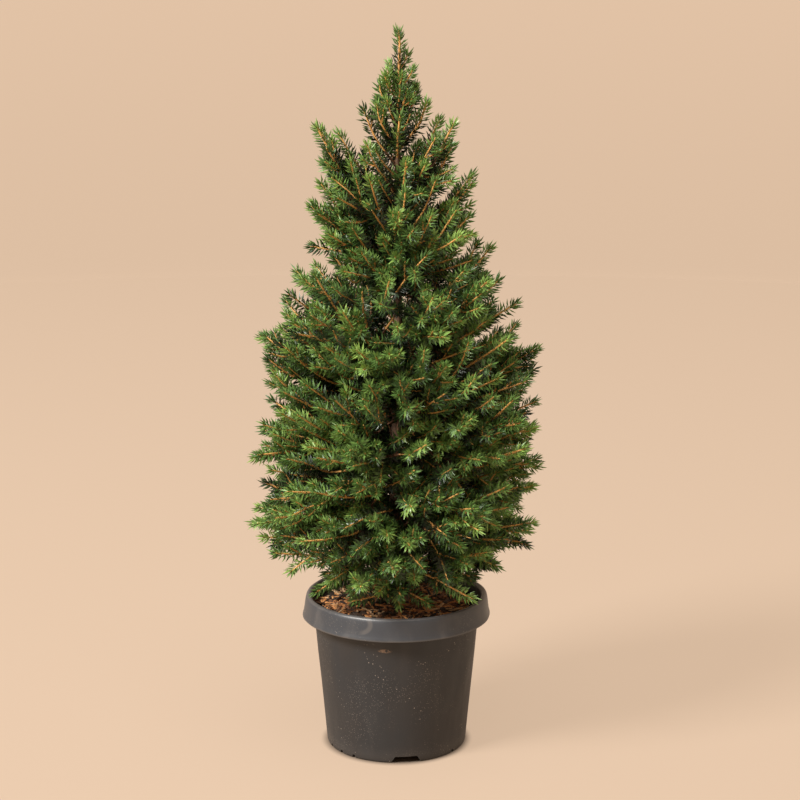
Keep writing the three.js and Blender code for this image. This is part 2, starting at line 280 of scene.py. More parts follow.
def placeCamera():
    camera = bpy.data.cameras.new("camera")
    camera.lens = view["lens"]
    camera.sensor_width = view["sensor"]
    holder = link("camera", camera)
    holder.location = (view["sideways"], -view["distance"], view["height"])
    holder.rotation_euler = (math.radians(90 - view["pitch"]), 0, 0)
    scene.camera = holder


def placeLamp(name, place, aim, size, power, colour):
    lamp = bpy.data.lights.new(name, "AREA")
    lamp.shape = "RECTANGLE"
    lamp.size, lamp.size_y = size
    lamp.energy = power
    lamp.color = colour
    holder = link(name, lamp)
    holder.location = place
    holder.rotation_euler = (Vector(aim) - Vector(place)).to_track_quat("-Z", "Y").to_euler()


paper = {
    "flat": 3.4,                # radius of the flat middle
    "bend": 2.4,                # radius of the curve up from it
    "rise": 3.8,
    "steps": 24,
    "sides": 64,
    "colour": (0.11, 0.080, 0.057),
    "roughness": 0.9,
    # the paper glows as painted light, which lifts the shadows cast on the floor and lights the plant from
    # below
    "glow": (0.588, 0.428, 0.302),
    "dark": (0.066, 0.079),     # the glow starts between these distances from the middle, a painted shadow under and just round the pot's foot
    "paleFrom": 1.0,            # height at which the glow is fully pale
    "paleGlow": (0.646, 0.468, 0.330),
}


def paperMaterial():
    # Paper that glows as painted light, paler higher up the wall, with a painted shadow under and just round
    # the pot's foot.
    material, wire, shader = newMaterial("paper", paper["colour"], paper["roughness"])
    place = wire.make("ShaderNodeTexCoord", output="Object")
    away = wire.make("ShaderNodeVectorMath", {"operation": "LENGTH"}, {"Vector": place}, output="Value")
    height = wire.make("ShaderNodeSeparateXYZ", sockets={"Vector": place}).out("Z")
    pale = height.ramp(0.0, paper["paleFrom"], "LINEAR").blend(paper["glow"], paper["paleGlow"])
    # no glow under and just round the pot's foot: a painted shadow there
    away.ramp(*paper["dark"]).blend((0, 0, 0), pale).feed(shader.inputs["Emission Color"])
    shader.inputs["Emission Strength"].default_value = 1
    return material


def placeStage():
    # A round bowl of paper: a flat floor that curves up into a wall on every side.
    edge, sides = paper["flat"] + paper["bend"], paper["sides"]
    outline = []
    for k in range(paper["steps"] + 1):
        angle = math.pi / 2 * k / paper["steps"]
        radius = paper["flat"] + paper["bend"] * math.sin(angle)
        outline.append((radius, paper["bend"] * (1 - math.cos(angle))))
    outline.append((edge, paper["rise"]))
    points, faces = [], [tuple(range(sides))]
    for level, (radius, height) in enumerate(outline):
        for k in range(sides):
            angle = 2 * math.pi * k / sides
            points.append((radius * math.cos(angle), radius * math.sin(angle), height))
            if level > 0:
                here, beside = level * sides + k, level * sides + (k + 1) % sides
                faces.append((here - sides, beside - sides, beside, here))
    mesh = bpy.data.meshes.new("backdrop")
    mesh.from_pydata(points, [], faces)
    for face in mesh.polygons:
        face.use_smooth = len(face.vertices) == 4
    backdrop = link("backdrop", mesh)
    mesh.materials.append(paperMaterial())


lamps = {
    "key": {"place": (-3.3, -2.4, 3.7), "size": (1.6, 1.6), "power": 500, "colour": (1, 0.97, 0.93)},
    "fill": {"place": (3.3, -2.8, 2.4), "size": (3.0, 3.0), "power": 8, "colour": (1, 0.97, 0.94)},
    "top": {"place": (0.3, -1.2, 4.2), "size": (2.8, 2.8), "power": 95, "colour": (1, 0.98, 0.95)},
}
room = {"colour": (1, 0.95, 0.9, 1), "strength": 0.03, "aim": (0, 0, 0.25)}


def placeLights():
    for name, lamp in lamps.items():
        placeLamp(name, lamp["place"], room["aim"], lamp["size"], lamp["power"], lamp["colour"])
    world = bpy.data.worlds.new("room")
    scene.world = world
    world.use_nodes = True
    sky = world.node_tree.nodes["Background"]
    sky.inputs["Color"].default_value = room["colour"]
    sky.inputs["Strength"].default_value = room["strength"]
    scene.view_settings.view_transform = "Standard"


placeCamera()
placeStage()
placeLights()
print("camera, lights and backdrop placed")


def readTrunk():
    # The trunk's rings from the ground up, each as its middle and radius.
    rings = {}
    for vertex in nodes["trunk"].data.vertices:
        spot = (round(vertex.co.x, 5), round(vertex.co.y, 5))
        rings.setdefault(round(vertex.co.z, 4), set()).add(spot)
    trunk = []
    for height in sorted(rings):
        spots = [Vector((x, y, height)) for x, y in rings[height]]
        middle = sum(spots, Vector()) / len(spots)
        trunk.append((middle, max((spot - middle).length for spot in spots)))
    return trunk


trunkRings = readTrunk()


def trunkAt(height):
    # The trunk's middle and radius at a height.
    for (low, lowRadius), (high, highRadius) in zip(trunkRings, trunkRings[1:]):
        if height <= high.z:
            share = shareOf(height, low.z, high.z)
            return low.lerp(high, share), mix(lowRadius, highRadius, share)
    return trunkRings[-1]


def outwardAt(place):
    away = place - trunkAt(place.z)[0]
    away.z = 0
    return away.normalized() if away.length > 1e-5 else Vector((0, -1, 0))


growth = {
    "seed": 7,
    "slopes": (             # rise of the shoots in degrees, by height
        (0.17, -12), (0.23, 4), (0.30, 24), (0.40, 42), (0.50, 55), (0.62, 66)),
    "tipSpacing": 0.0235,       # between the ends of the main shoots
    "innerSpacing": 0.034,
    "innerDepth": 0.045,        # how far in the second layer of shoots lies
    "innerTop": 0.62,
    "sparseHeights": (0.57, 0.60),     # over which the tips come to stand further apart
    "sparseSpacing": 1.25,
    "clearAhead": (0.002, 0.02),       # skin with another mass this close in front of it bears no tips
    "leastOutward": -0.05,
    "leastUpward": -0.85,
    "clearOfStem": 0.02,
    "gapHeights": (0.2, 0.60),
    "gapShare": (0.93, 0.76),   # of the crown's reach, low and high in it
    "gapShareHeights": (0.44, 0.52),
    "gapDepth": 0.006,
    "cell": (15, 0.02),         # degrees and height of one cell of the table of the crown's reach
    "candidates": 9000,
    "shootLength": (0.045, 0.075),
    "shortLength": (0.026, 0.05),
    "needled": 0.078,           # length of each branch that still holds needles
    "forward": 0.72,            # cosine of the angle at which a branch leaves its limb
    "sharpest": 0.3,            # cosine of the sharpest turn a branch may take
    "shortest": 0.014,          # a branch that starts nearer than this runs straight to its tip
    "sideAngle": (36, 54),
    "sideGap": (0.011, 0.018),
    "sideLength": (0.014, 0.036),
    "sideStart": (0.017, 0.026),
    "sideSpread": 0.5,          # how far a side shoot may turn off the golden angle
    "sideDepth": 0.004,         # how far inside the crown's skin a side shoot ends
    "forking": (0.022, 0.6),    # least length and share of the side shoots that branch again
    "step": 0.005,
    "tuft": 0.007,
    # needles further from a shoot's end get darker tints: partly the older needles' own darker green, partly
    # painted shade deeper in the crown
    "fading": (0.022, 0.036, 0.052),   # distances from the end at which the needles get a tint darker
    "fadingAtTop": 0.6,
    "fadingHeights": (0.42, 0.58),
    "oldFrom": (0.05, 0.09),    # distances from the end over which the needles thin out
    "freshShare": 0.6,
    "lean": {"end": 40, "side": (66, 52), "old": 72},
    "tuftLean": (46, 16),
    "needleReach": 0.005,       # how far the last needles stand past the end of a shoot
    "hollow": {"middle": Vector((-0.003, -0.06, 0.305)), "half": Vector((0.011, 0.1, 0.05))},
    "stemHeights": (0.50, 0.672),
    "stemGap": 0.0062,
    "stemRise": (42, 62),
    "stemLengths": ((0.034, 0.05), (0.018, 0.026)),    # low and high on the stem
    "leadingRise": (46, 58),
    "leadingHeights": (0.56, 0.66),
    "thick": {"main": (0.0015, 0.0008), "side": (0.0009, 0.0007), "stem": (0.0012, 0.0007),
              "low": (0.0014, 0.0008)},
    "leaderFrom": 0.672,        # only the leading shoots stand higher than this
    "rimRadius": 0.078,
    "rimHeight": 0.166,
    "lowest": 0.152,
    "limbTaper": (1.1, 1.0, 0.72, 0.45),    # shares of a bough's thickness along its limb
    "limbTip": 0.0007,
    "topLimb": (0.0022, 0.0014),
    "limbReach": {"leader": (0.10, 0.4), "other": (0.11, 0.6)},    # needled length, share of its side shoots
    "outerTints": ((1, 2, 3, 4), (2, 5, 5, 1.5)),      # tints and how often each is dealt
    # the inner layer's shoots get darker tints: partly their older, darker needles, partly painted shade
    # inside the crown
    "innerTints": ((0, 1, 2), (3, 4, 2)),
    "leadingTints": (2, 3, 3),
    "lowTints": (2, 3, 4),
    "stemTints": (1, 2, 2, 3),
    "limbTint": 3,
    "tipDepth": (-0.014, 0.001),
    "straying": 0.42,           # how far a shoot's heading strays
    "sizes": (0.92, 1.08),
    "sideSizes": (0.86, 0.98),
    "youngWood": 0.07,          # length of each limb that is still orange
    "thickestYoung": 0.00118,
}
leadingShoots = [           # ends of the shoots that give the top of the crown its outline
    (-0.019, -0.004, 0.669), (0.021, 0.004, 0.666), (0.032, -0.004, 0.651), (-0.034, -0.006, 0.645),
    (-0.021, -0.020, 0.650), (0.012, -0.020, 0.664), (-0.020, 0.020, 0.652), (0.004, -0.030, 0.640),
    (0.045, 0.004, 0.634), (0.010, 0.036, 0.632), (0.041, -0.024, 0.620), (0.058, 0.004, 0.610),
    (-0.077, -0.002, 0.625), (-0.059, 0.012, 0.620), (-0.030, -0.034, 0.612), (-0.020, 0.050, 0.604),
    (0.030, 0.046, 0.602), (0.010, -0.052, 0.598), (-0.027, -0.055, 0.583), (0.040, -0.046, 0.580),
    (0.078, 0.000, 0.581), (-0.077, 0.000, 0.573), (-0.003, -0.070, 0.552), (0.036, -0.064, 0.550),
    (0.060, -0.040, 0.550), (0.075, -0.010, 0.542), (0.006, 0.012, 0.684), (-0.010, -0.006, 0.682)]
lowShoots = [               # shoots that hang over the compost: where they start, bend and end
    ((-0.008, -0.010, 0.205), (-0.044, -0.034, 0.190), (-0.078, -0.052, 0.172)),
    ((-0.004, -0.012, 0.200), (-0.020, -0.034, 0.188), (-0.037, -0.055, 0.176)),
    ((0.000, -0.012, 0.200), (0.004, -0.046, 0.178), (0.031, -0.066, 0.165)),
    ((0.000, -0.012, 0.196), (0.000, -0.044, 0.176), (0.003, -0.066, 0.164)),
    ((0.000, -0.050, 0.176), (0.020, -0.070, 0.198), (0.072, -0.098, 0.180)),
    ((0.010, 0.006, 0.205), (0.046, 0.020, 0.188), (0.080, 0.040, 0.174)),
    ((-0.006, 0.012, 0.205), (-0.030, 0.044, 0.188), (-0.050, 0.074, 0.172))]


def slopeAt(height):
    stages = growth["slopes"]
    for (low, start), (high, end) in zip(stages, stages[1:]):
        if height <= high:
            return math.radians(mix(start, end, shareOf(height, low, high)))
    return math.radians(stages[-1][1])


def readMass(name):
    mesh = nodes[name].data
    points = [vertex.co.copy() for vertex in mesh.vertices]
    faces = [tuple(face.vertices) for face in mesh.polygons]
    return {"name": name, "points": points, "faces": faces}


def readBough(name):
    # Where a bough leaves the trunk and where it meets its mass.
    spots = {tuple(round(c, 5) for c in vertex.co) for vertex in nodes[name].data.vertices}
    spots = [Vector(spot) for spot in spots]
    spots.sort(key=lambda spot: (spot - trunkAt(spot.z)[0]).xy.length)
    quarter = max(3, len(spots) // 4)
    inner = sum(spots[:quarter], Vector()) / quarter
    outer = sum(spots[-quarter:], Vector()) / quarter
    thick = sum((spot - inner).length for spot in spots[:quarter]) / quarter
    return inner, outer, thick


def planLimb(mass):
    # The limb that carries a mass: from the trunk's middle to just short of the mass's tip.
    name = mass["name"].replace("foliage", "bough")
    if mass["name"] == "foliage_leader":
        bottom = min(point.z for point in mass["points"])
        top = trunkRings[-1][0].z
        heights = [mix(bottom, top, k / 12) for k in range(13)]
        knots = [trunkAt(height)[0] for height in heights]
        radii = [trunkAt(height)[1] for height in heights]
        tip = max(mass["points"], key=lambda point: point.z)
        knots.append(tip - up * growth["needleReach"])
        radii.append(radii[-1] * 0.7)
    elif name in nodes:
        inner, outer, thick = readBough(name)
        tip = max(mass["points"], key=lambda point: (point - inner).length)
        end = tip - (tip - outer).normalized() * growth["needleReach"]
        knots = [trunkAt(inner.z - thick)[0], inner, outer, outer.lerp(end, 0.55) + up * 0.003, end]
        radii = [*(thick * share for share in growth["limbTaper"]), growth["limbTip"]]
    else:
        outward = outwardAt(sum(mass["points"], Vector()) / len(mass["points"]))
        tip = max(mass["points"], key=lambda point: point.dot(outward + up * 0.5))
        reach = (tip - trunkAt(tip.z)[0]).xy.length
        root = trunkAt(tip.z - reach * math.tan(slopeAt(tip.z) * 0.85))[0]
        end = tip - (tip - root).normalized() * growth["needleReach"]
        bend = root.lerp(end, 0.5) + outward * 0.006
        knots = [root, bend, end]
        radii = [*growth["topLimb"], growth["limbTip"]]
    points = splineThrough(knots, growth["step"])
    steps = lengthsAlong(points)
    marks = lengthsAlong(knots)
    thickness = []
    for step in steps:
        place = step / steps[-1] * marks[-1]
        k = next(i for i in range(1, len(marks)) if place <= marks[i] + 1e-9)
        thickness.append(mix(radii[k - 1], radii[k], shareOf(place, marks[k - 1], marks[k])))
    return {"points": points, "steps": steps, "thick": thickness, "tip": tip}


massNames = sorted(name for name in nodes if name.startswith("foliage"))
masses = [readMass(name) for name in massNames]
for mass in masses:
    mass["limb"] = planLimb(mass)

crownPoints, crownFaces, crownOwner = [], [], []
for index, mass in enumerate(masses):
    first = len(crownPoints)
    crownPoints.extend(mass["points"])
    crownFaces.extend(tuple(first + k for k in face) for face in mass["faces"])
    crownOwner.extend([index] * len(mass["faces"]))
crownTree = BVHTree.FromPolygons(crownPoints, crownFaces)


def outsideCrown(place):
    # How far a place lies outside the foliage masses, negative inside them.
    spot, normal, _, distance = crownTree.find_nearest(place)
    return distance if (place - spot).dot(normal) > 0 else -distance


def inHollow(place):
    away = place - growth["hollow"]["middle"]
    return all(abs(a) < h for a, h in zip(away, growth["hollow"]["half"]))


def scatterTips(spacing, depth, randomly):
    # Places on the crown's outer skin, or a depth inside it, no closer than a spacing.
    weights = []
    for face in crownFaces:
        a, b, c = (crownPoints[k] for k in face)
        weights.append((b - a).cross(c - a).length)
    picks = randomly.choices(range(len(crownFaces)), weights, k=growth["candidates"])
    cells, tips = {}, []

    def cellOf(place):
        return tuple(math.floor(c / spacing) for c in place)

    if depth == 0:
        for spot in leadingShoots:
            place = Vector(spot)
            cells.setdefault(cellOf(place), []).append(place)
            tips.append((place, outwardAt(place), None))
    ahead, clear = growth["clearAhead"]
    for pick in picks:
        a, b, c = (crownPoints[k] for k in crownFaces[pick])
        u, v = randomly.random(), randomly.random()
        if u + v > 1:
            u, v = 1 - u, 1 - v
        place = a + (b - a) * u + (c - a) * v
        normal = (b - a).cross(c - a).normalized()
        if crownTree.ray_cast(place + normal * ahead, normal, clear)[0] is not None:
            continue
        if normal.dot(outwardAt(place)) < growth["leastOutward"] or normal.z < growth["leastUpward"]:
            continue
        place = place - normal * depth
        if depth > 0 and (place - trunkAt(place.z)[0]).xy.length < growth["clearOfStem"]:
            continue
        if inHollow(place):
            continue
        cell = cellOf(place)
        near = (other for dx in (-1, 0, 1) for dy in (-1, 0, 1) for dz in (-1, 0, 1)
                for other in cells.get((cell[0] + dx, cell[1] + dy, cell[2] + dz), ()))
        apart = spacing * mix(1, growth["sparseSpacing"], shareOf(place.z, *growth["sparseHeights"]))
        if any((place - other).length < apart for other in near):
            continue
        cells.setdefault(cell, []).append(place)
        tips.append((place, normal, crownOwner[pick]))
    return tips


def reachCell(bearing, height):
    turn, rise = growth["cell"]
    return round(bearing / turn), round(height / rise)


def reachTable():
    # How far the crown reaches from the trunk, by bearing and height, taken from the masses.
    table = {}
    for point in crownPoints:
        away = point - trunkAt(point.z)[0]
        bearing, level = reachCell(math.degrees(math.atan2(away.y, away.x)), point.z)
        cell = bearing % (360 // growth["cell"][0]), level
        table[cell] = max(table.get(cell, 0), away.xy.length)
    return table


def gapTips(spacing, tips, randomly):
    # Tips between the masses, just inside the crown's outline, where no mass fills it.
    table = reachTable()
    found = []
    for _ in range(growth["candidates"]):
        height = randomly.uniform(*growth["gapHeights"])
        bearing = randomly.uniform(0, 360)
        side, level = reachCell(bearing, height)
        near = [table.get(((side + db) % (360 // growth["cell"][0]), level + dz), 0)
                for db in range(-2, 3) for dz in range(-2, 3)]
        near.sort()
        reach = near[-3] * mix(*growth["gapShare"], shareOf(height, *growth["gapShareHeights"]))
        angle = math.radians(bearing)
        place = trunkAt(height)[0] + Vector((math.cos(angle), math.sin(angle), 0)) * reach
        if outsideCrown(place) < growth["gapDepth"] or inHollow(place):
            continue
        if any((place - other[0]).length < spacing for other in tips + found):
            continue
        owner = crownOwner[crownTree.find_nearest(place)[2]]
        found.append((place, outwardAt(place), owner))
    return found


def jitter(randomly, amount):
    return Vector([randomly.uniform(-amount, amount) for _ in range(3)])


def clearOfPot(place):
    # Keeps a point of a shoot off the pot's rim and the compost.
    floor = mix(growth["lowest"], growth["rimHeight"], smooth(place.xy.length, 0.06, growth["rimRadius"]))
    return Vector((place.x, place.y, max(place.z, floor)))


def attachPoint(limb, base):
    # The place on a limb that a branch would leave at a natural forward angle.
    best, bestCost = 0, 1e9
    points = limb["points"]
    for k in range(1, len(points) - 2):
        away = base - points[k]
        distance = away.length
        if distance < 1e-6:
            continue
        along = (points[k + 1] - points[k]).normalized()
        forward = away.dot(along) / distance
        cost = distance * (1 + 2.2 * (forward - growth["forward"]) ** 2 + (1.5 if forward < 0.1 else 0))
        if cost < bestCost:
            best, bestCost = k, cost
    return best


def growBranch(limb, tip, heading, length, randomly):
    # A branch from its limb to a tip, the last stretch of it a straight young shoot.
    outward = outwardAt(tip)
    back = (heading * 0.93 + outward * 0.22).normalized()
    base = tip - back * length
    k = attachPoint(limb, base)
    start = limb["points"][k]
    along = (limb["points"][k + 1] - start).normalized()
    gap = (base - start).length
    folded = gap > 0 and (base - start).normalized().dot((tip - base).normalized()) < growth["sharpest"]
    if gap < growth["shortest"] or folded:
        knots = [start, start.lerp(tip, 0.45) + along * 0.004, tip]
    else:
        elbow = start.lerp(base, 0.5) + along * gap * 0.12 - up * gap * 0.05 + jitter(randomly, 0.002)
        bend = base.lerp(tip, 0.5) + outward * length * 0.03 + jitter(randomly, length * 0.04)
        knots = [start, elbow, base, bend, tip]
    return [clearOfPot(p) for p in splineThrough(knots, growth["step"])]


# Every needled stretch holds its points with the needles' size, lean, tint and density,
# and the wood under it holds its thickness.
needleRuns, twigRuns, budSpots = {}, {}, {}
tintCount = 6


def groupOf(mass):
    # The level of the crown and the side of the trunk that a mass is on.
    level = mass["name"].split("_")[1]
    if level in ("top", "leader"):
        return "top"
    middle = sum(mass["points"], Vector()) / len(mass["points"])
    return level + ("Left" if middle.x < 0 else "Right")


def dealtTint(tint):
    return min(tintCount - 1, max(0, tint))


def tuftRun(points, size, tint):
    # A second, tighter set of needles round the last few millimetres of a shoot.
    heading = (points[-1] - points[-2]).normalized()
    length = growth["tuft"]
    places = [points[-1] - heading * length * share for share in (1, 0.66, 0.33, 0)]
    leans = [math.radians(mix(*growth["tuftLean"], share)) for share in (0, 0.3, 0.65, 1)]
    return {"points": places, "lean": leans, "size": [size * 0.96] * 4,
            "tint": [dealtTint(tint)] * 4, "dense": [1.0] * 4}


def dressShoot(group, points, tint, size, needled, randomly, wood=None):
    # Needles along the outer stretch of a path, wood along all of it, a bud on its end.
    steps = lengthsAlong(points)
    total = steps[-1]
    run = {"points": [], "size": [], "lean": [], "tint": [], "dense": []}
    lean = growth["lean"]
    fresh = randomly.random() < growth["freshShare"]
    heading = (points[-1] - points[-2]).normalized()
    for point, step in zip(points, steps):
        toEnd = total - step
        if toEnd > needled:
            continue
        old = smooth(toEnd, *growth["oldFrom"])
        spread = mix(*lean["side"], shareOf(heading.z, 0.8, 1))
        run["points"].append(point)
        run["size"].append(size * mix(0.86, 1.0, smooth(toEnd, 0, 0.012)))
        leaning = mix(lean["end"], spread, smooth(toEnd, 0.0, 0.010))
        run["lean"].append(math.radians(mix(leaning, lean["old"], old)))
        sooner = mix(1, growth["fadingAtTop"], shareOf(point.z, *growth["fadingHeights"]))
        # Darker further from the end: partly older needles, partly painted shade deeper in the crown.
        fading = sum(toEnd > length * sooner for length in growth["fading"])
        run["tint"].append(dealtTint(tint + (1 if fresh and toEnd < 0.012 else 0) - fading))
        run["dense"].append(mix(1.0, 0.45, old))
    if len(run["points"]) > 1:
        needleRuns.setdefault(group, []).append(run)
    needleRuns.setdefault(group, []).append(tuftRun(points, size, tint + fresh))
    if wood:
        thick = [mix(*growth["thick"][wood], (step / total) ** 0.8) for step in steps]
        twigRuns.setdefault(group, []).append({"points": points, "thick": thick})
    budSpots.setdefault(group, []).append(
        {"points": [points[-1] - heading * 0.0005, points[-1] + heading * 0.001], "size": [size, size]})


def growSides(group, points, needled, tint, size, randomly, share=0.6, depth=0):
    # Side shoots along the needled stretch, longer the further they are from the tip.
    steps = lengthsAlong(points)
    total = steps[-1]
    turn = randomly.uniform(0, 2 * math.pi)
    place = randomly.uniform(*growth["sideStart"])
    while place < min(needled * 0.9, total - 0.006):
        k = min(range(len(steps)), key=lambda i: abs(total - steps[i] - place))
        k = min(max(k, 1), len(points) - 2)
        along = (points[k + 1] - points[k - 1]).normalized()
        across = along.cross(up if abs(along.z) < 0.95 else Vector((1, 0, 0))).normalized()
        over = across.cross(along)
        turn += goldenAngle + randomly.uniform(-growth["sideSpread"], growth["sideSpread"])
        side = across * math.cos(turn) + over * math.sin(turn) * 0.8
        side.normalize()
        angle = math.radians(randomly.uniform(*growth["sideAngle"]))
        heading = along * math.cos(angle) + side * math.sin(angle)
        heading = (heading + outwardAt(points[k]) * 0.3 + up * 0.12).normalized()
        low, high = growth["sideLength"]
        length = min(high, max(low, place * share * randomly.uniform(0.75, 1.25)))
        for _ in range(3):
            finish = (heading * 0.75 + along * 0.2 + up * 0.12).normalized()
            end = points[k] + (heading + finish).normalized() * length
            if outsideCrown(end) < -growth["sideDepth"] and not inHollow(end):
                break
            length *= 0.72
        else:
            place += randomly.uniform(*growth["sideGap"])
            continue
        if length > low * 0.75:
            bend = points[k] + heading * length * 0.5
            path = [clearOfPot(p) for p in splineThrough([points[k], bend, end], growth["step"])]
            smaller = size * randomly.uniform(*growth["sideSizes"])
            dressShoot(group, path, tint, smaller, length * 0.94, randomly, "side")
            if depth == 0 and length > growth["forking"][0] and randomly.random() < growth["forking"][1]:
                growSides(group, path, length * 0.8, tint, size * 0.92, randomly, share, 1)
        place += randomly.uniform(*growth["sideGap"])


def growLeading(tip, randomly):
    # A long straight shoot from the trunk near the top, with few side shoots.
    rise = mix(*growth["leadingRise"], shareOf(tip.z, *growth["leadingHeights"]))
    rise = math.radians(rise + randomly.uniform(-3, 3))
    reach = (tip - trunkAt(tip.z)[0]).xy.length
    root = trunkAt(tip.z - reach * math.tan(rise))[0]
    outward = outwardAt(tip)
    middle = root.lerp(tip, 0.5) + outward * 0.004 + jitter(randomly, 0.002)
    points = splineThrough([root, middle, tip - (tip - root).normalized() * 0.006], growth["step"])
    tint = randomly.choice(growth["leadingTints"])
    length = lengthsAlong(points)[-1]
    dressShoot("top", points, tint, 1.0, length * 0.92, randomly, "main")
    growSides("top", points, length * 0.85, tint, 0.95, randomly, 0.36)


def growLowShoots(randomly):
    for start, bend, end in lowShoots:
        points = splineThrough([Vector(start), Vector(bend), Vector(end)], growth["step"])
        points = [clearOfPot(p) for p in points]
        group = "skirt" + ("Left" if end[0] < 0 else "Right")
        tint = randomly.choice(growth["lowTints"])
        dressShoot(group, points, tint, 1.0, 0.055, randomly, "low")
        growSides(group, points, 0.05, tint, 0.95, randomly, 0.5)


def growStemShoots(randomly):
    # Short shoots close round the stem, where the crown is narrow.
    low, high = growth["stemHeights"]
    count = round((high - low) / growth["stemGap"])
    lower, upper = growth["stemLengths"]
    for k in range(count):
        height = mix(low, high, k / count)
        middle = trunkAt(height)[0]
        bearing = k * goldenAngle + randomly.uniform(-0.3, 0.3)
        rise = math.radians(randomly.uniform(*growth["stemRise"]))
        outward = Vector((math.cos(bearing), math.sin(bearing), 0))
        heading = outward * math.cos(rise) + up * math.sin(rise)
        length = mix(randomly.uniform(*lower), randomly.uniform(*upper), shareOf(height, 0.52, high))
        tip = middle + heading * length
        points = splineThrough([middle, middle.lerp(tip, 0.5) + outward * 0.002, tip], growth["step"])
        dressShoot("top", points, randomly.choice(growth["stemTints"]), 0.95, length, randomly, "stem")
    stem = [trunkAt(mix(low, high, k / 40))[0] for k in range(41)]
    dressShoot("top", stem, growth["limbTint"], 0.95, high - low, randomly)


def growCrown():
    randomly = random.Random(growth["seed"])
    outer = scatterTips(growth["tipSpacing"], 0, randomly)
    inner = [tip for tip in scatterTips(growth["innerSpacing"], growth["innerDepth"], randomly)
             if tip[0].z < growth["innerTop"]]
    gaps = gapTips(growth["tipSpacing"], outer, randomly)
    print(f"  {len(outer)} outer tips, {len(gaps)} in gaps, {len(inner)} inner tips")
    for mass in masses:
        limb = mass["limb"]
        group = groupOf(mass)
        reach, share = growth["limbReach"]["leader" if mass["name"] == "foliage_leader" else "other"]
        points, steps = limb["points"], limb["steps"]
        dressShoot(group, points, growth["limbTint"], 1.0, reach, randomly)
        young = [k for k in range(len(points)) if steps[-1] - steps[k] < growth["youngWood"]]
        twigRuns.setdefault(group, []).append({
            "points": [points[k] for k in young],
            "thick": [min(growth["thickestYoung"], limb["thick"][k] * 1.1 + 0.00015) for k in young]})
        growSides(group, points, reach, growth["limbTint"], 1.0, randomly, share)
    growStemShoots(randomly)
    growLowShoots(randomly)
    for layer, tips in (("outer", outer + gaps), ("inner", inner)):
        for place, normal, owner in tips:
            if owner is None:
                growLeading(place, randomly)
                continue
            if place.z > growth["leaderFrom"]:
                continue
            mass = masses[owner]
            rise = slopeAt(place.z)
            heading = outwardAt(place) * math.cos(rise) + up * math.sin(rise)
            heading = (heading + normal * 0.3 + jitter(randomly, growth["straying"])).normalized()
            if layer == "outer":
                tip = place + heading * randomly.uniform(*growth["tipDepth"])
                tint = randomly.choices(*growth["outerTints"])[0]
                small = shareOf(place.z, 0.5, 0.64)
                length = mix(randomly.uniform(*growth["shootLength"]),
                             randomly.uniform(*growth["shortLength"]), small)
            else:
                tip = place
                # darker tints: partly older needles, partly painted shade inside the crown
                tint = randomly.choices(*growth["innerTints"])[0]
                length = randomly.uniform(*growth["shortLength"])
            tip = clearOfPot(tip)
            path = growBranch(mass["limb"], tip, heading, length, randomly)
            group = groupOf(mass)
            size = randomly.uniform(*growth["sizes"])
            dressShoot(group, path, tint, size, growth["needled"], randomly, "main")
            growSides(group, path, growth["needled"] * 0.8, tint, size, randomly)


growCrown()
totals = {group: sum(lengthsAlong(r["points"])[-1] for r in runs) for group, runs in needleRuns.items()}
print("shoots grown:", {g: round(t, 2) for g, t in totals.items()},
      sum(len(r) for r in needleRuns.values()), "shoots")


needle = {
    "Spacing": 0.00064,
    "Length": 0.0108,
    "Half Width": 0.00096,
    "Bend": 0.0006,
    "Seed": 3,
}
needleVariety = {"turn": 0.45, "lean": 0.22, "size": (0.82, 1.1), "tint": 1.0, "tip": 0.00001}
needleSheen = {"roughness": 0.42, "Specular_IOR_Level": 0.6}
needleTints = [
    ("needleShade", (0.006, 0.016, 0.003)),
    ("needleDeep", (0.018, 0.045, 0.009)),
    ("needleMid", (0.044, 0.099, 0.020)),
    ("needleLeaf", (0.085, 0.172, 0.036)),
    ("needleBright", (0.148, 0.266, 0.058)),
    ("needleFresh", (0.225, 0.358, 0.078)),
]
twig = {"Sides": 4, "Old From": 0.0012}
bud = {"Length": 0.0024, "Half Width": 0.0007}
woodLooks = {                   # colour and roughness
    "twigYoung": ((0.64, 0.33, 0.095), 0.55),
    "twigOld": ((0.16, 0.075, 0.035), 0.75),
    "budScale": ((0.5, 0.27, 0.07), 0.5),
}


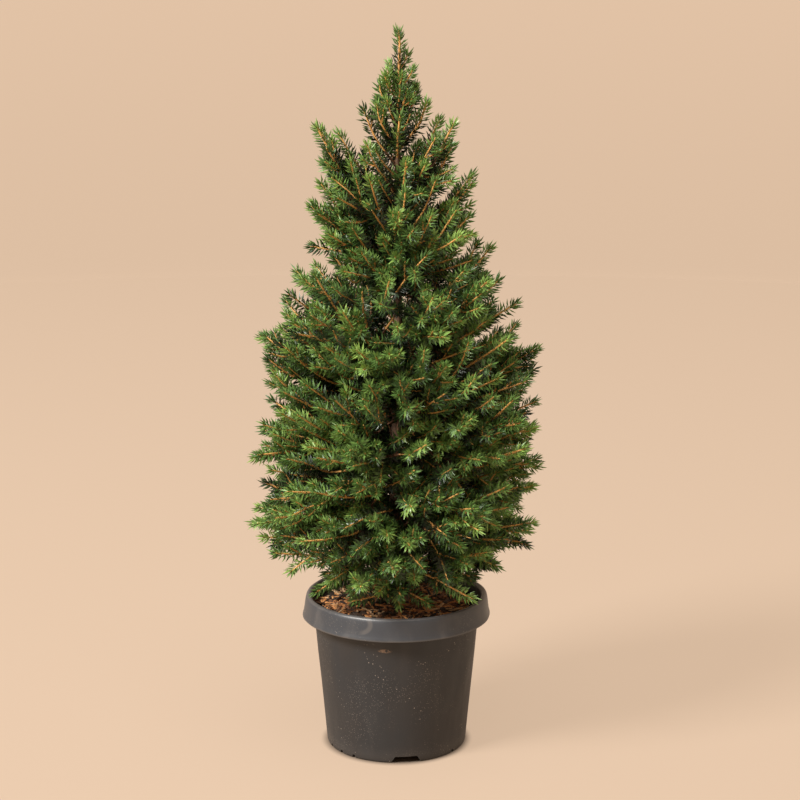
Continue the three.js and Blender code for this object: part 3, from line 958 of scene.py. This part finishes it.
def buildNeedleTree(materials):
    # Needles stand round every path, each a slim closed spindle with a slight bend.
    tree, start, given = newTree("needleBrush", {
        "Spacing": "Float", "Length": "Float", "Half Width": "Float", "Bend": "Float", "Seed": "Int"})
    spots = start.make("GeometryNodeCurveToPoints", {"mode": "LENGTH"}, {
        "Curve": curveIn(start, given), "Length": given["Spacing"]})
    field = {name: fieldOf(start, name) for name in ("size", "lean", "tint", "dense")}
    chance = diceOf(start, given["Seed"])
    turn, lean, tint = (needleVariety[key] for key in ("turn", "lean", "tint"))

    def turned(rotation, axis, angle):
        return start.make("FunctionNodeRotateRotation", {"rotation_space": "LOCAL"}, {
            "Rotation": rotation,
            "Rotate By": start.make("FunctionNodeAxisAngleToRotation", sockets={
                "Axis": axis, "Angle": angle})})

    along = start.make("FunctionNodeAlignRotationToVector", {"axis": "Z"}, {"Vector": spots.out("Tangent")})
    index = start.make("GeometryNodeInputIndex")
    around = turned(along, (0, 0, 1), index * goldenAngle + chance(-turn, turn, 1))
    leaning = turned(around, (0, 1, 0), field["lean"] + chance(-lean, lean, 2))
    ends = {share: start.make("ShaderNodeCombineXYZ", sockets={
        "X": given["Bend"] * (1.33 if 0 < share < 1 else 0.0), "Z": given["Length"] * share})
        for share in (0, 0.33, 0.67, 1)}
    spindle = start.make("GeometryNodeCurvePrimitiveBezierSegment", sockets={
        "Resolution": 2, "Start": ends[0], "Start Handle": ends[0.33],
        "End Handle": ends[0.67], "End": ends[1]})
    spindle = start.make("GeometryNodeResampleCurve", {"mode": "COUNT"}, {"Curve": spindle, "Count": 3})
    place = start.make("GeometryNodeSplineParameter", output="Factor")
    swell = (place * (1 - place) * 4) * given["Half Width"] + needleVariety["tip"]
    profile = start.make("GeometryNodeCurvePrimitiveCircle", sockets={"Resolution": 3, "Radius": 1.0})
    body = start.make("GeometryNodeCurveToMesh", sockets={
        "Curve": spindle, "Profile Curve": profile, "Scale": swell})
    body = start.make("GeometryNodeMergeByDistance", sockets={"Geometry": body, "Distance": 0.00005})
    brush = start.make("GeometryNodeInstanceOnPoints", sockets={
        "Points": storeField(start, spots, "shade", field["tint"] + chance(-tint, tint, 5)),
        "Selection": chance(0, 1, 3) < field["dense"],
        "Instance": body,
        "Rotation": leaning,
        "Scale": start.make("ShaderNodeVectorMath", {"operation": "SCALE"}, {
            "Vector": (1, 1, 1), "Scale": field["size"] * chance(*needleVariety["size"], 4)})})
    mesh = start.make("GeometryNodeRealizeInstances", sockets={"Geometry": brush}).shaded(False)
    shade = fieldOf(start, "shade")
    for k, material in enumerate(materials):
        mesh = mesh.painted(material, shade > (k - 0.5 if k else -9.0))
    endTree(start, mesh)
    return tree


def buildTwigTree(young, old):
    tree, start, given = newTree("twigTube", {"Sides": "Int", "Old From": "Float"})
    thick = fieldOf(start, "thick")
    profile = start.make("GeometryNodeCurvePrimitiveCircle", sockets={
        "Resolution": given["Sides"], "Radius": 1.0})
    mesh = start.make("GeometryNodeCurveToMesh", sockets={
        "Curve": curveIn(start, given), "Profile Curve": profile, "Scale": thick, "Fill Caps": True})
    endTree(start, mesh.shaded(True).painted(young).painted(old, thick > given["Old From"]))
    return tree


def buildBudTree(material):
    tree, start, given = newTree("shootBuds", {"Length": "Float", "Half Width": "Float"})
    ends = start.make("GeometryNodeCurveEndpointSelection", sockets={"Start Size": 0, "End Size": 1})
    tangent = start.make("GeometryNodeInputTangent")
    along = start.make("FunctionNodeAlignRotationToVector", {"axis": "Z"}, {"Vector": tangent})
    ball = start.make("GeometryNodeMeshIcoSphere", sockets={"Radius": 1.0, "Subdivisions": 1})
    ball = start.make("GeometryNodeTransform", sockets={
        "Geometry": ball, "Scale": start.make("ShaderNodeCombineXYZ", sockets={
            "X": given["Half Width"], "Y": given["Half Width"], "Z": given["Length"] * 0.5})})
    buds = start.make("GeometryNodeInstanceOnPoints", sockets={
        "Points": curveIn(start, given), "Selection": ends, "Instance": ball, "Rotation": along,
        "Scale": fieldOf(start, "size")})
    mesh = start.make("GeometryNodeRealizeInstances", sockets={"Geometry": buds})
    endTree(start, mesh.shaded(True).painted(material))
    return tree


def growFoliage():
    greens = [newMaterial(name, colour, **needleSheen)[0] for name, colour in needleTints]
    young, old, scale = (newMaterial(name, *look)[0] for name, look in woodLooks.items())
    fields = ("size", "lean", "tint", "dense")
    kinds = (
        ("needles_", "foliage", needleRuns, fields, buildNeedleTree(greens), needle),
        ("twigs_", "bark", twigRuns, ("thick",), buildTwigTree(young, old), twig),
        ("buds_", "bark", budSpots, ("size",), buildBudTree(scale), bud))
    for group in needleRuns:
        for kind, slot, runs, fields, tree, values in kinds:
            source = pathMesh("paths", runs[group], fields)
            piece = runTree(kind + group, source, tree, values)
            bpy.data.objects.remove(source)
            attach(piece, "root")
            if slot == "foliage":
                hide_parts(*[m["name"] for m in masses if groupOf(m) == group])


growFoliage()
print("needles, twigs and buds made")


bark = {
    "sides": 14,
    "ring": 0.004,
    "relief": 0.16,          # share of the thickness
    "grain": 140,            # ridges per metre round the trunk
    "thinnest": 0.0006,
    "darkWood": (0.055, 0.030, 0.018),
    "paleWood": (0.20, 0.115, 0.065),
    "youngWood": (0.50, 0.25, 0.08),
    "youngHeights": (0.59, 0.65),
    "grainScale": 420.0,
    "patchScale": 90.0,
    "tones": (0.38, 0.62),      # range of the noise over which dark turns to pale
    "bump": (0.7, 0.0006),      # strength and depth
    "roughness": 0.85,
}


def tube(points, thick, sides, made):
    # A closed tube with bark relief, added to the lists of points and faces.
    spots, faces = made
    first = len(spots)
    side = (points[1] - points[0]).normalized().orthogonal().normalized()
    for k, (point, radius) in enumerate(zip(points, thick)):
        along = (points[min(k + 1, len(points) - 1)] - points[max(k - 1, 0)]).normalized()
        side = (side - along * side.dot(along)).normalized()
        over = along.cross(side)
        for i in range(sides):
            angle = 2 * math.pi * i / sides
            away = side * math.cos(angle) + over * math.sin(angle)
            spot = point + away * radius
            ridge = noise.noise(Vector((spot.x, spot.y, spot.z * 0.3)) * bark["grain"] * 3)
            ridge += 0.5 * noise.noise(spot * bark["grain"] * 6)
            spots.append(spot + away * radius * bark["relief"] * ridge)
    for k in range(len(points) - 1):
        for i in range(sides):
            a = first + k * sides + i
            b = first + k * sides + (i + 1) % sides
            faces.append((a, b, b + sides, a + sides))
    last = first + (len(points) - 1) * sides
    faces.append(tuple(first + i for i in reversed(range(sides))))
    faces.append(tuple(last + i for i in range(sides)))


def buildBark():
    bottom, top = trunkRings[0][0].z, trunkRings[-1][0].z
    count = round((top - bottom) / bark["ring"])
    heights = [mix(bottom, top, k / count) for k in range(count + 1)]
    made = ([], [])
    tube([trunkAt(h)[0] for h in heights], [trunkAt(h)[1] for h in heights], bark["sides"], made)
    for mass in masses:
        if mass["name"] != "foliage_leader":
            limb = mass["limb"]
            thick = [max(bark["thinnest"], t) for t in limb["thick"]]
            tube(limb["points"], thick, bark["sides"] // 2, made)
    mesh = bpy.data.meshes.new("bark")
    mesh.from_pydata([tuple(p) for p in made[0]], [], made[1])
    shadeSmooth(mesh)
    piece = link("bark", mesh)
    material, wire, shader = newMaterial("bark", bark["darkWood"], bark["roughness"])
    place = wire.make("ShaderNodeTexCoord", output="Object")
    long = wire.make("ShaderNodeMapping", sockets={"Vector": place, "Scale": (1, 1, 0.35)})
    grain = long.cloud(bark["grainScale"], 5.0)
    patch = place.cloud(bark["patchScale"], 2.0)
    tone = (grain * 0.65 + patch * 0.35).ramp(*bark["tones"], "LINEAR")
    colour = tone.blend(bark["darkWood"], bark["paleWood"])
    height = wire.make("ShaderNodeSeparateXYZ", sockets={"Vector": place}).out("Z")
    colour = height.ramp(*bark["youngHeights"], "LINEAR").blend(colour, bark["youngWood"])
    colour.feed(shader.inputs["Base Color"])
    addBump(shader, grain, *bark["bump"])
    mesh.materials.append(material)
    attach(piece, "root")
    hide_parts("trunk", *[name for name in nodes if name.startswith("bough")])
    print(f"  bark: {len(mesh.polygons)} faces")


buildBark()
print("bark made")


pot = {
    "segments": 288,
    "outside": [            # radius and height from the foot's inside edge up to the rim
        (0.0666, 0.0004), (0.0670, 0.0), (0.0690, 0.0), (0.0698, 0.0006), (0.0706, 0.0024),
        (0.0712, 0.0080), (0.0735, 0.0320), (0.0765, 0.0640), (0.0795, 0.0950), (0.0818, 0.1190),
        (0.0829, 0.1300), (0.0834, 0.1320), (0.0850, 0.1350), (0.0856, 0.1365), (0.0860, 0.1410),
        (0.0870, 0.1510), (0.0874, 0.1526), (0.0878, 0.1520), (0.0894, 0.1500), (0.0899, 0.1480),
        (0.0914, 0.1410), (0.0926, 0.1350), (0.0930, 0.1339), (0.0934, 0.1336), (0.0944, 0.1336),
        (0.0948, 0.1339), (0.0950, 0.1344), (0.0949, 0.1353), (0.0944, 0.1368), (0.0938, 0.1392),
        (0.0932, 0.1430), (0.0926, 0.1480), (0.0920, 0.1518), (0.0915, 0.1537), (0.0908, 0.1549),
        (0.0897, 0.1557), (0.0886, 0.1560)],
    "inside": [             # from the rim down to the middle of the floor, then its underside
        (0.0875, 0.1557), (0.0865, 0.1549), (0.0858, 0.1537), (0.0855, 0.1524), (0.0848, 0.1440),
        (0.0841, 0.1365), (0.0816, 0.1318), (0.0812, 0.1300), (0.0780, 0.0960), (0.0740, 0.0540),
        (0.0700, 0.0130), (0.0697, 0.0102), (0.0688, 0.0096), (0.0550, 0.0096), (0.0300, 0.0096),
        (0.0, 0.0096), (0.0, 0.0076), (0.0300, 0.0076), (0.0550, 0.0076), (0.0655, 0.0076), (0.0664, 0.0070)],
    "dents": 0.0003,
    "collarFrom": (0.0852, 0.1336),     # radius and height past which the pot is its collar
    "collarDents": 2.2,                 # how much softer the collar is than the body
    "collarWave": 0.0006,
    "bigNotches": {"bearings": (278, 38, 158), "top": 0.022, "bottom": 0.031, "height": 0.007},
    "smallNotches": {"bearings": (233, 323, 353, 83, 113, 203, 219),
                     "top": 0.0026, "bottom": 0.0030, "height": 0.0038},
    "notchReach": (0.060, 0.078),       # from inside the skirt to outside it
    "holes": {"bearings": (323, 53, 143, 233), "circle": 0.042, "radius": 0.006},
}


def lathe(name, profile, segments, middle, moved):
    # Turns a closed profile round the upright axis; points of no radius become one point.
    points, faces, rings = [], [], []
    for radius, height in profile:
        ring = []
        for k in range(segments if radius > 0 else 1):
            angle = 2 * math.pi * k / segments
            r, z = moved(radius, height, angle)
            ring.append(len(points))
            points.append((middle.x + r * math.cos(angle), middle.y + r * math.sin(angle), z))
        rings.append(ring)
    for low, high in zip(rings, rings[1:] + rings[:1]):
        if len(low) == 1 and len(high) == 1:
            continue
        for k in range(segments):
            a, b = low[k % len(low)], low[(k + 1) % len(low)]
            c, d = high[(k + 1) % len(high)], high[k % len(high)]
            faces.append(tuple(dict.fromkeys((a, b, c, d))))
    mesh = bpy.data.meshes.new(name)
    mesh.from_pydata(points, [], faces)
    return mesh


def notchCutter(bearing, kind, middle):
    # A wedge-sided block lying across the foot of the pot at a bearing.
    angle = math.radians(bearing)
    out = Vector((math.cos(angle), math.sin(angle), 0))
    side = Vector((-out.y, out.x, 0))
    corners = []
    for reach in pot["notchReach"]:
        for half, height in ((kind["bottom"] / 2 + 0.0013, -0.002), (kind["top"] / 2, kind["height"])):
            for sign in (-1, 1):
                corners.append(middle + out * reach + side * sign * half + up * height)
    faces = [(0, 1, 3, 2), (4, 6, 7, 5), (0, 4, 5, 1), (2, 3, 7, 6), (0, 2, 6, 4), (1, 5, 7, 3)]
    return corners, faces


def holeCutter(bearing, kind, middle):
    angle = math.radians(bearing)
    centre = middle + Vector((math.cos(angle), math.sin(angle), 0)) * kind["circle"]
    count = 20
    turns = [2 * math.pi * k / count for k in range(count)]
    rim = [Vector((math.cos(turn), math.sin(turn), 0)) for turn in turns]
    corners = [centre + spot * kind["radius"] + up * height for height in (0.004, 0.013) for spot in rim]
    faces = [tuple(reversed(range(count))), tuple(range(count, 2 * count))]
    faces += [(k, (k + 1) % count, count + (k + 1) % count, count + k) for k in range(count)]
    return corners, faces


def cutAway(piece, cutters):
    points, faces = [], []
    for corners, sides in cutters:
        first = len(points)
        points.extend(tuple(c) for c in corners)
        faces.extend(tuple(first + k for k in side) for side in sides)
    mesh = bpy.data.meshes.new("cutter")
    mesh.from_pydata(points, [], faces)
    shape = bmesh.new()
    shape.from_mesh(mesh)
    bmesh.ops.recalc_face_normals(shape, faces=shape.faces)
    shape.to_mesh(mesh)
    shape.free()
    tool = link("cutter", mesh)
    modifier = piece.modifiers.new("cut", "BOOLEAN")
    modifier.operation = "DIFFERENCE"
    modifier.solver = "EXACT"
    modifier.object = tool
    bpy.context.view_layer.update()
    graph = bpy.context.evaluated_depsgraph_get()
    result = bpy.data.meshes.new_from_object(piece.evaluated_get(graph), depsgraph=graph)
    piece.modifiers.clear()
    piece.data = result
    bpy.data.objects.remove(tool)


plastic = {
    "body": (0.0170, 0.0180, 0.0200),
    "warm": (0.0222, 0.0203, 0.0200),
    # the collar's colour, lighter and bluer than the body: a painted reflection of the light from above
    "collar": (0.036, 0.0415, 0.050),
    # pale dust, and also the colour of the painted highlights on the collar's lips and in a bow on its front
    "dust": (0.42, 0.36, 0.30),
    "mark": (0.30, 0.19, 0.12),
    "roughness": (0.50, 0.66),
    "collarRoughness": 0.40,
    "grain": ((900.0, 2.0, 0.4), (34.0, 3.0, 0.8)),    # scale, detail and share of the fine and the broad
    "bump": (0.35, 0.0006),
    "collarHeights": (0.1325, 0.1345),
    "footHeights": (0.006, 0.026),
    # the collar's lower lip and top edge, which are lightened as painted highlights
    "lipHeights": ((0.1340, 0.1362), (0.1535, 0.1552)),
    "specks": (260.0, 0.08, 0.15),      # dots to a metre, and the distances over which each one fades
    "powder": (572.0, 0.10, 0.24),
    "patches": {                # scale, detail, stretch, shift, and the range of noise each fades in over
        "haze": (14.0, 3.0, (1, 1, 1), 0.0, 0.40, 0.66),
        "streak": (60.0, 4.0, (1, 1, 0.12), 3.0, 0.52, 0.74),
        "speckled": (30.0, 3.0, (1, 1, 1), 9.0, 0.52, 0.66),
        "powdered": (22.0, 4.0, (1, 1, 1), 6.0, 0.46, 0.62),
        "rubbed": (26.0, 4.0, (1, 1, 0.5), 1.0, 0.50, 0.70),
        "flecks": (300.0, 2.0, (1, 1, 1), 0.0, 0.35, 0.55),
        "wear": (40.0, 4.0, (1, 1, 0.4), 0.0, 0.30, 0.70),
    },
    "shares": {"haze": 0.8, "streak": 0.015, "foot": 0.04, "rubbed": 0.12, "lips": 0.10,
               "powder": 0.35, "specks": 0.8, "bow": 0.10, "mark": 0.5},
    # a painted highlight in a bow on the front of the collar, where a dent catches the light
    "bowSpot": {"place": (-0.036, 0.1500), "stretch": (90, 110), "edge": (0.02, 0.30), "fade": (-0.2, 0.5)},
    "markSpot": {"place": (-0.011, 0.1205), "stretch": (20000, 240000), "edge": (0.5, 1.2)},
}


def plasticMaterial():
    material, wire, shader = newMaterial("potPlastic", plastic["body"], plastic["roughness"][0])
    place = wire.make("ShaderNodeTexCoord", output="Object")
    split = wire.make("ShaderNodeSeparateXYZ", sockets={"Vector": place})
    x, y, z = split.out("X"), split.out("Y"), split.out("Z")
    shares, dust = plastic["shares"], plastic["dust"]

    def cloud(scale, detail, stretch=(1, 1, 1), shift=0.0):
        moved = wire.make("ShaderNodeMapping", sockets={
            "Vector": place, "Scale": stretch, "Location": (shift, shift * 0.7, 0)})
        return moved.cloud(scale, detail)

    def patch(name):
        *noisy, low, high = plastic["patches"][name]
        return cloud(*noisy).ramp(low, high)

    def dots(name):
        scale, low, high = plastic[name]
        distance = wire.make("ShaderNodeTexVoronoi", sockets={
            "Vector": place, "Scale": scale}, output="Distance")
        return 1 - distance.ramp(low, high)

    def fromSpot(spot):  # the distances across and up from a spot on the front
        return x - spot["place"][0], z - spot["place"][1]

    collar = z.ramp(*plastic["collarHeights"])
    rubbed = patch("rubbed") * collar
    foot = 1 - (z + cloud(90.0, 3.0, shift=5.0) * 0.012).ramp(*plastic["footHeights"])
    # Painted highlights along the collar's lower lip and top edge.
    lower, upper = plastic["lipHeights"]
    lips = 1 - z.ramp(*lower) * (1 - z.ramp(*upper))
    # A painted highlight in a bow on the front of the collar.
    bowSpot, markSpot = plastic["bowSpot"], plastic["markSpot"]
    across, above = (away * scale for away, scale in zip(fromSpot(bowSpot), bowSpot["stretch"]))
    ring = across * across + above * above - 1
    bow = (1 - (ring * ring).ramp(*bowSpot["edge"])) * across.ramp(*bowSpot["fade"]) * (y < 0)
    wide, high = (away * away * scale for away, scale in zip(fromSpot(markSpot), markSpot["stretch"]))
    mark = (1 - (wide + high).ramp(*markSpot["edge"])) * (y < 0) * patch("flecks")
    colour = (patch("haze") * shares["haze"]).blend(plastic["body"], plastic["warm"])
    for share, over in (
            (patch("streak") * shares["streak"], dust),
            (foot * shares["foot"], dust),
            # the collar lighter and bluer, a painted reflection of the light from above
            (collar, plastic["collar"]),
            (rubbed * shares["rubbed"], dust),
            (lips * collar * shares["lips"], dust),
            (dots("powder") * patch("powdered") * shares["powder"], dust),
            (dots("specks") * patch("speckled") * shares["specks"], dust),
            (bow * collar * shares["bow"], dust),
            (mark * shares["mark"], plastic["mark"])):
        colour = share.blend(colour, over)
    colour.feed(shader.inputs["Base Color"])
    smoothest, roughest = plastic["roughness"]
    rough = (patch("wear") * (roughest - smoothest) + smoothest) * (1 - collar)
    rough += (rubbed * shares["rubbed"] + plastic["collarRoughness"]) * collar
    rough.feed(shader.inputs["Roughness"])
    fine, broad = (cloud(scale, detail) * share for scale, detail, share in plastic["grain"])
    addBump(shader, fine + broad, *plastic["bump"])
    return material


def buildPot():
    low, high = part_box("pot")
    middle = (Vector(low) + Vector(high)) / 2
    middle.z = 0

    def dented(radius, height, angle):
        spot = Vector((math.cos(angle) * 1.6, math.sin(angle) * 1.6, height * 14))
        amount = noise.noise(spot * 2.1) * pot["dents"]
        if radius > pot["collarFrom"][0] and height > pot["collarFrom"][1]:
            amount *= pot["collarDents"]
            height += noise.noise(spot * 0.9 + Vector((4, 0, 0))) * pot["collarWave"]
        return radius + min(amount, high[0] - radius), min(height, high[2])

    mesh = lathe("pot", pot["outside"] + pot["inside"], pot["segments"], middle, dented)
    piece = link("potWall", mesh)
    cutters = [notchCutter(bearing, pot[kind], middle) for kind in ("bigNotches", "smallNotches")
               for bearing in pot[kind]["bearings"]]
    cutters += [holeCutter(bearing, pot["holes"], middle) for bearing in pot["holes"]["bearings"]]
    cutAway(piece, cutters)
    mesh = piece.data
    mesh.materials.clear()
    mesh.materials.append(plasticMaterial())
    shadeSmooth(mesh)
    mesh.set_sharp_from_angle(angle=math.radians(38))
    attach(piece, "root")
    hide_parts("pot")
    print(f"  pot: {len(mesh.polygons)} faces")


buildPot()
print("pot made")


compost = {
    "wall": [(0.0690, 0.0100), (0.0694, 0.0140), (0.0735, 0.0540), (0.0775, 0.0960),
             (0.0808, 0.1300), (0.0812, 0.1318), (0.0836, 0.1365), (0.0841, 0.1415)],
    "segments": 96,
    "ring": 0.0028,
    "lumps": 0.0020,            # height of the bed's lumps
    "edgeHeight": 0.1432,       # of the bed at the pot's wall
    "belowTop": 0.0018,
    "heaped": 0.06,             # distance from the wall over which the bed rises
    "swells": ((75, 1), (190, 0.55), (420, 0.3)),      # lumps to a metre and their share of the height
}
chips = {
    "Splinter Density": 34000.0,
    "Crumb Density": 26000.0,
    "Splinter Length": 0.0260,
    "Splinter Width": 0.0021,
    "Crumb Size": 0.0033,
    "Reach": 0.0775,
    "Seed": 11,
}
chipKinds = {                   # least and most of each size, and how far each one tips over
    "Splinter": {"seed": 10, "wide": (0.6, 2.2), "deep": (0.5, 1.0), "long": (0.3, 1.0), "tip": (1.2, 1.85)},
    "Crumb": {"seed": 20, "wide": (0.6, 2.4), "deep": (0.6, 1.8), "long": (0.5, 1.1), "tip": (-0.6, 0.6)},
}
soilColours = ((0.020, 0.013, 0.009), (0.085, 0.045, 0.024))
chipColours = {                 # from which share of the chips each colour starts, and its two tones
    "barkDark": (-1.0, (0.018, 0.012, 0.009), (0.05, 0.030, 0.018)),
    "barkBrown": (0.30, (0.10, 0.040, 0.017), (0.23, 0.095, 0.038)),
    "barkTan": (0.54, (0.42, 0.25, 0.12), (0.62, 0.42, 0.24)),
    "barkOrange": (0.68, (0.36, 0.13, 0.04), (0.60, 0.29, 0.10)),
}


def mottled(name, low, high, scale, roughness, depth):
    # A rough natural material between two colours.
    material, wire, shader = newMaterial(name, low, roughness)
    place = wire.make("ShaderNodeTexCoord", output="Object")
    cloud, fine = place.cloud(scale, 6.0), place.cloud(scale * 4, 3.0)
    (cloud * 0.7 + fine * 0.3).ramp(0.38, 0.62, "LINEAR").blend(low, high).feed(shader.inputs["Base Color"])
    addBump(shader, cloud + fine * 0.6, 0.8, depth)
    return material


def buildChipTree(materials):
    # Splinters and crumbs of bark lying at random on the compost.
    tree, start, given = newTree("barkChips", {
        "Splinter Density": "Float", "Crumb Density": "Float", "Splinter Length": "Float",
        "Splinter Width": "Float", "Crumb Size": "Float", "Reach": "Float", "Seed": "Int"})
    chance = diceOf(start, given["Seed"])
    where = start.make("ShaderNodeSeparateXYZ", sockets={"Vector": start.make("GeometryNodeInputPosition")})
    facing = start.make("ShaderNodeSeparateXYZ", sockets={"Vector": start.make("GeometryNodeInputNormal")})
    x, y = where.out("X"), where.out("Y")
    onTop = ((x * x + y * y) < given["Reach"] * given["Reach"]) * (facing.out("Z") > 0.4)
    shapes = {
        "Splinter": start.make("GeometryNodeMeshCylinder", sockets={
            "Vertices": 5, "Side Segments": 1, "Radius": 0.5, "Depth": 1.0}, output="Mesh"),
        "Crumb": start.make("GeometryNodeMeshIcoSphere", sockets={
            "Radius": 0.5, "Subdivisions": 1}, output="Mesh"),
    }

    def scattered(kind, seed, wide, deep, long, tip):
        spots = start.make("GeometryNodeDistributePointsOnFaces", {"distribute_method": "RANDOM"}, {
            "Mesh": given["Geometry"], "Selection": onTop,
            "Density": given[kind + " Density"], "Seed": given["Seed"] + seed}, output="Points")
        if kind == "Splinter":
            across, along, roll = given["Splinter Width"], given["Splinter Length"], 0.0
            length = along * chance(*long, seed + 4) * chance(0.6, 1.2, seed + 5)
        else:
            across, roll = given["Crumb Size"], chance(*tip, seed + 8)
            length = across * chance(*long, seed + 4)
        size = start.make("ShaderNodeCombineXYZ", sockets={
            "X": across * chance(*wide, seed + 2), "Y": across * chance(*deep, seed + 3), "Z": length})
        angles = start.make("ShaderNodeCombineXYZ", sockets={
            "X": chance(*tip, seed + 6), "Y": roll, "Z": chance(0, 6.28, seed + 7)})
        return start.make("GeometryNodeInstanceOnPoints", sockets={
            "Points": storeField(start, spots, "kind", chance(0, 1, seed + 1)),
            "Instance": shapes[kind], "Scale": size,
            "Rotation": start.make("FunctionNodeEulerToRotation", sockets={"Euler": angles})})

    joined = start.make("GeometryNodeJoinGeometry")
    parts = [scattered(kind, **spread) for kind, spread in chipKinds.items()]
    for part in reversed(parts):
        part.feed(joined.socket.node.inputs["Geometry"])
    mesh = start.make("GeometryNodeRealizeInstances", sockets={"Geometry": joined})
    kind = fieldOf(start, "kind")
    for (floor, *_), material in zip(chipColours.values(), materials):
        mesh = mesh.painted(material, kind > floor)
    endTree(start, mesh)
    return tree


def buildCompost():
    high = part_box("compost")[1]
    potLow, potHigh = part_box("pot")
    middle = (Vector(potLow) + Vector(potHigh)) / 2
    edge = compost["wall"][-1]
    count = round(edge[0] / compost["ring"])
    crown = [(edge[0] * (1 - k / count), 0.0) for k in range(1, count + 1)]

    def lumpy(radius, height, angle):
        if height > 0:
            return radius, height
        spot = Vector((radius * math.cos(angle), radius * math.sin(angle), 0))
        lump = sum(share * noise.noise(spot * scale) for scale, share in compost["swells"])
        rise = mix(compost["edgeHeight"], high[2] - compost["belowTop"],
                   smooth(edge[0] - radius, 0, compost["heaped"]))
        return radius, min(rise + lump * compost["lumps"], high[2] + 0.001)

    mesh = lathe("compost", [(0.0, 0.0100)] + compost["wall"] + crown, compost["segments"], middle, lumpy)
    piece = link("compostBed", mesh)
    mesh.materials.append(mottled("compost", *soilColours, 700.0, 0.95, 0.0012))
    shades = [mottled(name, *tones, 240.0, 0.8, 0.0004) for name, (_, *tones) in chipColours.items()]
    litter = runTree("barkChips", piece, buildChipTree(shades), chips)
    shadeSmooth(mesh)
    for part in (piece, litter):
        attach(part, "root")
    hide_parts("compost")


buildCompost()
print("compost made")
